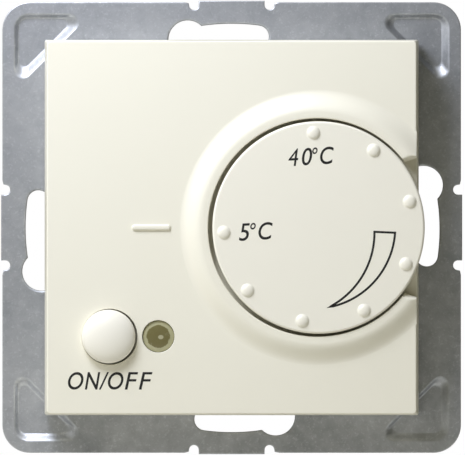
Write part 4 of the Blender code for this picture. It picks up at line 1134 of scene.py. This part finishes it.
# Painted highlight: a small pale spot a little right of and below the lens's middle, laid over the painted
# shade.
highlight_at = (LAMP_X + HIGHLIGHT_OFFSET[0], LAMP_Z + HIGHLIGHT_OFFSET[1])
from_highlight = distance_from(resin_tree, resin_place, highlight_at, 1.25)
on_highlight = ranged(resin_tree, from_highlight, HIGHLIGHT_RADIUS, HIGHLIGHT_RADIUS + HIGHLIGHT_BLUR, 1.0, 0.0)
painted_lens_colour = mixed(resin_tree, on_highlight, painted_lens_shades, (0.42, 0.40, 0.26, 1))
resin_tree.links.new(painted_lens_colour, resin_shader.inputs["Base Color"])
resin_tree.links.new(ranged(resin_tree, lens_cloud, 0.3, 0.7, 0.18, 0.30), resin_shader.inputs["Roughness"])
lens.data.materials.append(resin)


# Rear housing.
# A deep grey moulded cup behind the plate that goes into the wall box, 42 mm square, with four screw
# ears, vent grooves in its sides and a notch low in its back for the terminal block.
housing_low, housing_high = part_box("rear_housing")
HOUSING_FRONT = -housing_low.y
HOUSING_BACK = -housing_high.y
HOUSING_HALF = housing_high.x
HOUSING_CORNER = 3.0 * MM
HOUSING_WALL = 1.6 * MM
HOUSING_EDGE = 1.1 * MM
EAR_RADIUS = 2.4 * MM
EAR_X = 13.5 * MM
EAR_Z = housing_high.z - EAR_RADIUS
EAR_FRONT = 0.5 * MM
EAR_BACK = EAR_FRONT - 2.4 * MM
EAR_EDGE = 0.3 * MM
HOUSING_STEPS = 6
EAR_STEPS = 4
block_low, block_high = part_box("terminal_block")
rings = [(rounded(2 * HOUSING_HALF, 2 * HOUSING_HALF, HOUSING_CORNER), HOUSING_FRONT)]
for inward, down in quarter_round(HOUSING_STEPS):
    inset = HOUSING_EDGE * inward
    side = 2 * (HOUSING_HALF - inset)
    depth = HOUSING_BACK + HOUSING_EDGE * down
    rings.append((rounded(side, side, HOUSING_CORNER - inset * 0.8), depth))
housing = stacked("housing", rings)
EAR_PLACES = [(-EAR_X, EAR_Z), (EAR_X, EAR_Z), (-EAR_X, -EAR_Z), (EAR_X, -EAR_Z)]


def ear_outline(x, z, inset):
    """A tongue from the housing's wall, with a round end about the screw."""
    radius = EAR_RADIUS - inset
    way = 1 if z > 0 else -1
    root = way * (HOUSING_HALF - HOUSING_WALL / 2)
    return [(x + radius, root)] + arc(x, z, radius, 0, 180 * way, 16) + [(x - radius, root)]


for x, z in EAR_PLACES:
    rings = [(ear_outline(x, z, 0), EAR_FRONT)]
    for inward, down in quarter_round(EAR_STEPS):
        rings.append((ear_outline(x, z, EAR_EDGE * inward), EAR_BACK + EAR_EDGE * down))
    boolean(housing, [stacked("ear", rings)], "UNION")
inner_side = 2 * (HOUSING_HALF - HOUSING_WALL)
inner = rounded(inner_side, inner_side, HOUSING_CORNER - HOUSING_WALL)
boolean(housing, [stacked("inside", [(inner, HOUSING_BACK + HOUSING_WALL), (inner, FAR)])], "DIFFERENCE")


BLOCK_GAP = 0.3 * MM
SCREW_HOLE = 1.55 * MM
SCREW_ROUND = 48
low = (block_low.x - BLOCK_GAP, HOUSING_BACK - FAR, -2 * HOUSING_HALF)
high = (block_high.x + BLOCK_GAP, -block_low.y + BLOCK_GAP, block_high.z + BLOCK_GAP)
cuts = [block("notch", low, high)]
through = [(0, -FAR), (SCREW_HOLE, -FAR), (SCREW_HOLE, FAR), (0, FAR)]
for x, z in EAR_PLACES:
    cuts.append(turned("screw_hole", through, SCREW_ROUND, x, z))
GROOVE_DEPTH = 0.5 * MM
GROOVE_WIDTH = 1.0 * MM
GROOVE_LENGTH = 12.0 * MM
GROOVE_PITCH = 2.4 * MM
GROOVE_COUNT = 7
GROOVE_RAISE = 4.0 * MM  # how far up the side grooves stand, clear of the terminals
groove_middle = (HOUSING_FRONT + HOUSING_BACK) / 2
for number in range(GROOVE_COUNT):
    along = (number - (GROOVE_COUNT - 1) / 2) * GROOVE_PITCH
    near = groove_middle - GROOVE_LENGTH / 2
    away = groove_middle + GROOVE_LENGTH / 2
    half = GROOVE_WIDTH / 2
    edge = HOUSING_HALF - GROOVE_DEPTH
    cuts.append(block("groove", (along - half, near, edge), (along + half, away, FAR * 2)))
    up = along + GROOVE_RAISE
    for side in (-1, 1):
        first, second = sorted((side * edge, side * FAR * 2))
        cuts.append(block("groove", (first, near, up - half), (second, away, up + half)))
boolean(housing, cuts, "DIFFERENCE")
settle(housing, "case", ["rear_housing"], 32)
housing_grey = plastic("grey_housing", (0.115, 0.122, 0.13), (0.085, 0.09, 0.098), 0.52, 1800.0, 0.30)
housing.data.materials.append(housing_grey)


# Tray and electronics.
# The tray behind the cover is moulded in the rear housing's plastic. Its two boards are green glass-fibre
# laminate with tinned pads, and the parts soldered on them are bought in, each with its usual body.
def dress(material, *names):
    """Gives CAD pieces that are shown as they are a finish of their own."""
    for name in names:
        for place in nodes[name].material_slots:
            place.material = material


def laminate(name):
    """Solder mask over copper tracks, with rows of tinned pads."""
    material, tree, shader = new_material(name, 0.38)
    turn = tree.nodes.new("ShaderNodeMapping")
    turn.inputs["Rotation"].default_value = (math.radians(-90), 0, 0)
    tree.links.new(tree.nodes.new("ShaderNodeTexCoord").outputs["Object"], turn.inputs["Vector"])
    face = turn.outputs["Vector"]
    tracks = tree.nodes.new("ShaderNodeTexBrick")
    tracks.inputs["Scale"].default_value = 1 / MM
    tracks.inputs["Brick Width"].default_value = 5.1
    tracks.inputs["Row Height"].default_value = 1.3
    tracks.inputs["Mortar Size"].default_value = 0.18
    tree.links.new(face, tracks.inputs["Vector"])
    pads = tree.nodes.new("ShaderNodeTexVoronoi")
    pads.inputs["Scale"].default_value = 420.0
    tree.links.new(face, pads.inputs["Vector"])
    on_pad = ranged(tree, pads.outputs["Distance"], 0.16, 0.20, 1.0, 0.0)
    cloud = noise(tree, face, 260.0, 3.0, 0.5)
    mask = mixed(tree, cloud, (0.018, 0.105, 0.040, 1), (0.030, 0.150, 0.060, 1))
    raised = mixed(tree, cloud, (0.040, 0.200, 0.075, 1), (0.055, 0.235, 0.090, 1))
    tracked = mixed(tree, tracks.outputs["Fac"], mask, raised)
    tree.links.new(mixed(tree, on_pad, tracked, (0.60, 0.60, 0.58, 1)), shader.inputs["Base Color"])
    tree.links.new(on_pad, shader.inputs["Metallic"])
    tree.links.new(ranged(tree, cloud, 0.3, 0.7, 0.30, 0.44), shader.inputs["Roughness"])
    raise_bumps(tree, shader, maths(tree, "ADD", tracks.outputs["Fac"], on_pad), 0.3, 0.03 * MM)
    return material


def metal(name, light, dark, scale, bump=0.15):
    """A plated or rolled metal finish from its two tones and the size of its mottling."""
    material, tree, shader = new_material(name, metallic=1.0)
    look = use_group(tree, zinc_spangle, {"Light": (*light, 1), "Dark": (*dark, 1), "Crystal Scale": scale})
    feed_finish(tree, shader, look, bump, 0.02 * MM)
    return material


plated_steel = metal("plated_steel", (0.78, 0.78, 0.75), (0.50, 0.50, 0.47), 2600.0)
brass = metal("clamp_brass", (0.86, 0.68, 0.34), (0.62, 0.46, 0.20), 2200.0)
green_board = laminate("green_board")
black_body = plastic("black_body", (0.035, 0.035, 0.038), (0.022, 0.022, 0.024), 0.45, 3200.0, 0.25)
white_body = plastic("white_acetal", (0.76, 0.75, 0.71), (0.70, 0.69, 0.64), 0.38, 2600.0, 0.12)
dress(housing_grey, "front_housing")
dress(green_board, "control_board", "power_board", "potentiometer_track")
dress(black_body, "microcontroller", "board_connector", "switch_case")
dress(white_body, "potentiometer_rotor", "switch_plunger")
dress(plated_steel, "potentiometer_case")
# Each bought-in body: its node, finish, two tones, roughness, grain and relief.
BODIES = [
    ("relay", "relay_blue", (0.04, 0.11, 0.26), (0.03, 0.08, 0.19), 0.40, 2400.0, 0.15),
    ("mains_capacitor", "capacitor_yellow", (0.62, 0.42, 0.06), (0.52, 0.34, 0.05), 0.42, 2400.0, 0.15),
    ("varistor", "varistor_coating", (0.05, 0.20, 0.42), (0.03, 0.14, 0.31), 0.34, 1500.0, 0.40),
    ("fuse", "fuse_body", (0.24, 0.15, 0.07), (0.18, 0.11, 0.05), 0.36, 2600.0, 0.15),
    ("smoothing_capacitor", "capacitor_sleeve", (0.03, 0.04, 0.07), (0.02, 0.03, 0.05), 0.30, 900.0, 0.10),
    ("terminal_block", "block_polyamide", (0.085, 0.09, 0.10), (0.06, 0.065, 0.072), 0.50, 2000.0, 0.30),
]
for node, *finish in BODIES:
    dress(plastic(*finish), node)
TERMINALS = range(1, 6)
dress(brass, *[f"terminal_clamp_{number}" for number in TERMINALS])


# Switch spring.
# A coil of plated spring wire between the switch's case and its plunger. It stands on the case, and the
# push button's travel presses it flatter.
WIRE_RADIUS = 0.13 * MM
WIRE_SIDES = 10
SPRING_TURNS = 3
TURN_STEPS = 40
spring_low, spring_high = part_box("switch_spring")
spring_middle = (spring_low + spring_high) / 2
coil_radius = (spring_high.x - spring_low.x) / 2 - WIRE_RADIUS
coil_length = spring_high.y - spring_low.y - 2 * WIRE_RADIUS
coil = bmesh.new()
hoops = []
for step in range(SPRING_TURNS * TURN_STEPS + 1):
    turn = 2 * math.pi * step / TURN_STEPS
    out = Vector((math.cos(turn), 0, math.sin(turn)))
    along = spring_high.y - WIRE_RADIUS - coil_length * step / (SPRING_TURNS * TURN_STEPS)
    middle = Vector((spring_middle.x, along, spring_middle.z)) + out * coil_radius
    hoop = []
    for side in range(WIRE_SIDES):
        angle = 2 * math.pi * side / WIRE_SIDES
        aside = out * math.cos(angle) + Vector((0, math.sin(angle), 0))
        hoop.append(coil.verts.new(middle + aside * WIRE_RADIUS))
    hoops.append(hoop)
for one, other in zip(hoops, hoops[1:]):
    for side in range(WIRE_SIDES):
        beside = (side + 1) % WIRE_SIDES
        coil.faces.new((one[side], one[beside], other[beside], other[side]))
coil.faces.new(hoops[0])
coil.faces.new(hoops[-1])
spring = to_piece("return_coil", coil, "case", ["switch_spring"])
spring.data.materials.append(plated_steel)
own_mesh(spring)


# Screws.
# Zinc-plated pan-head screws with a cross in the head: four through the rear housing's ears, one that
# holds the cover from under the dial, and five small ones that tighten the terminal clamps.
THREAD_DEPTH = 0.22 * MM
THREAD_PITCH = 0.9 * MM
HEAD_ROUND = 0.55  # of the head's height
HEAD_STEPS = 8
CROSS_REACH = 0.62  # of the head's radius, as is its width
CROSS_WIDTH = 0.24
CROSS_DEPTH = 0.55  # of the head's height
HOUSING_SCREW = (2.2 * MM, 1.4 * MM, 1.05 * MM)  # head radius, head height and shank radius
COVER_SCREW = (SCREW_HEAD, HEAD_HEIGHT, 1.5 * MM)
CLAMP_SCREW = (1.9 * MM, 1.2 * MM, 1.2 * MM)


def pan_screw(name, node, kind, facing):
    """A screw in a CAD screw's place, its head towards -Y ("front"), +Y ("back") or -Z ("down")."""
    head_radius, head_height, shank_radius = kind
    low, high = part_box(node)
    length = high.z - low.z if facing == "down" else high.y - low.y
    profile = [(0, -length), (shank_radius * 0.5, -length)]
    turns = int((length - head_height) / THREAD_PITCH)
    for number in range(turns):
        at = -length + (number + 0.25) * THREAD_PITCH
        profile.append((shank_radius - THREAD_DEPTH, at))
        profile.append((shank_radius, at + THREAD_PITCH / 2))
    profile.append((shank_radius - THREAD_DEPTH, -head_height))
    profile.append((head_radius, -head_height))
    rise = head_height * HEAD_ROUND
    for step in range(HEAD_STEPS):
        angle = math.radians(90 * step / HEAD_STEPS)
        profile.append((head_radius * math.cos(angle * 0.98), -rise * (1 - math.sin(angle))))
    profile.append((0, 0))
    piece = turned(name, profile, SCREW_ROUND)
    reach = head_radius * CROSS_REACH
    half = head_radius * CROSS_WIDTH / 2
    deep = -head_height * CROSS_DEPTH
    level = block("arm", (-reach, deep, -half), (reach, MM, half))
    upright = block("arm", (-half, deep, -reach), (half, MM, reach))
    boolean(piece, [level, upright], "DIFFERENCE")
    middle = (low + high) / 2
    if facing == "front":
        place = Matrix.Translation((middle.x, low.y, middle.z))
    elif facing == "back":
        place = Matrix.Translation((middle.x, high.y, middle.z)) @ Matrix.Rotation(math.pi, 4, "Z")
    else:
        place = Matrix.Translation((middle.x, middle.y, low.z)) @ Matrix.Rotation(math.pi / 2, 4, "X")
    piece.data.transform(place)
    settle(piece, "case", [node], 30)
    piece.data.materials.append(plated_steel)


for number in range(1, len(EAR_PLACES) + 1):
    pan_screw(f"housing_pan_screw_{number}", f"housing_screw_{number}", HOUSING_SCREW, "back")
pan_screw("cover_pan_screw", "cover_screw", COVER_SCREW, "front")
for number in TERMINALS:
    pan_screw(f"clamp_pan_screw_{number}", f"terminal_screw_{number}", CLAMP_SCREW, "down")
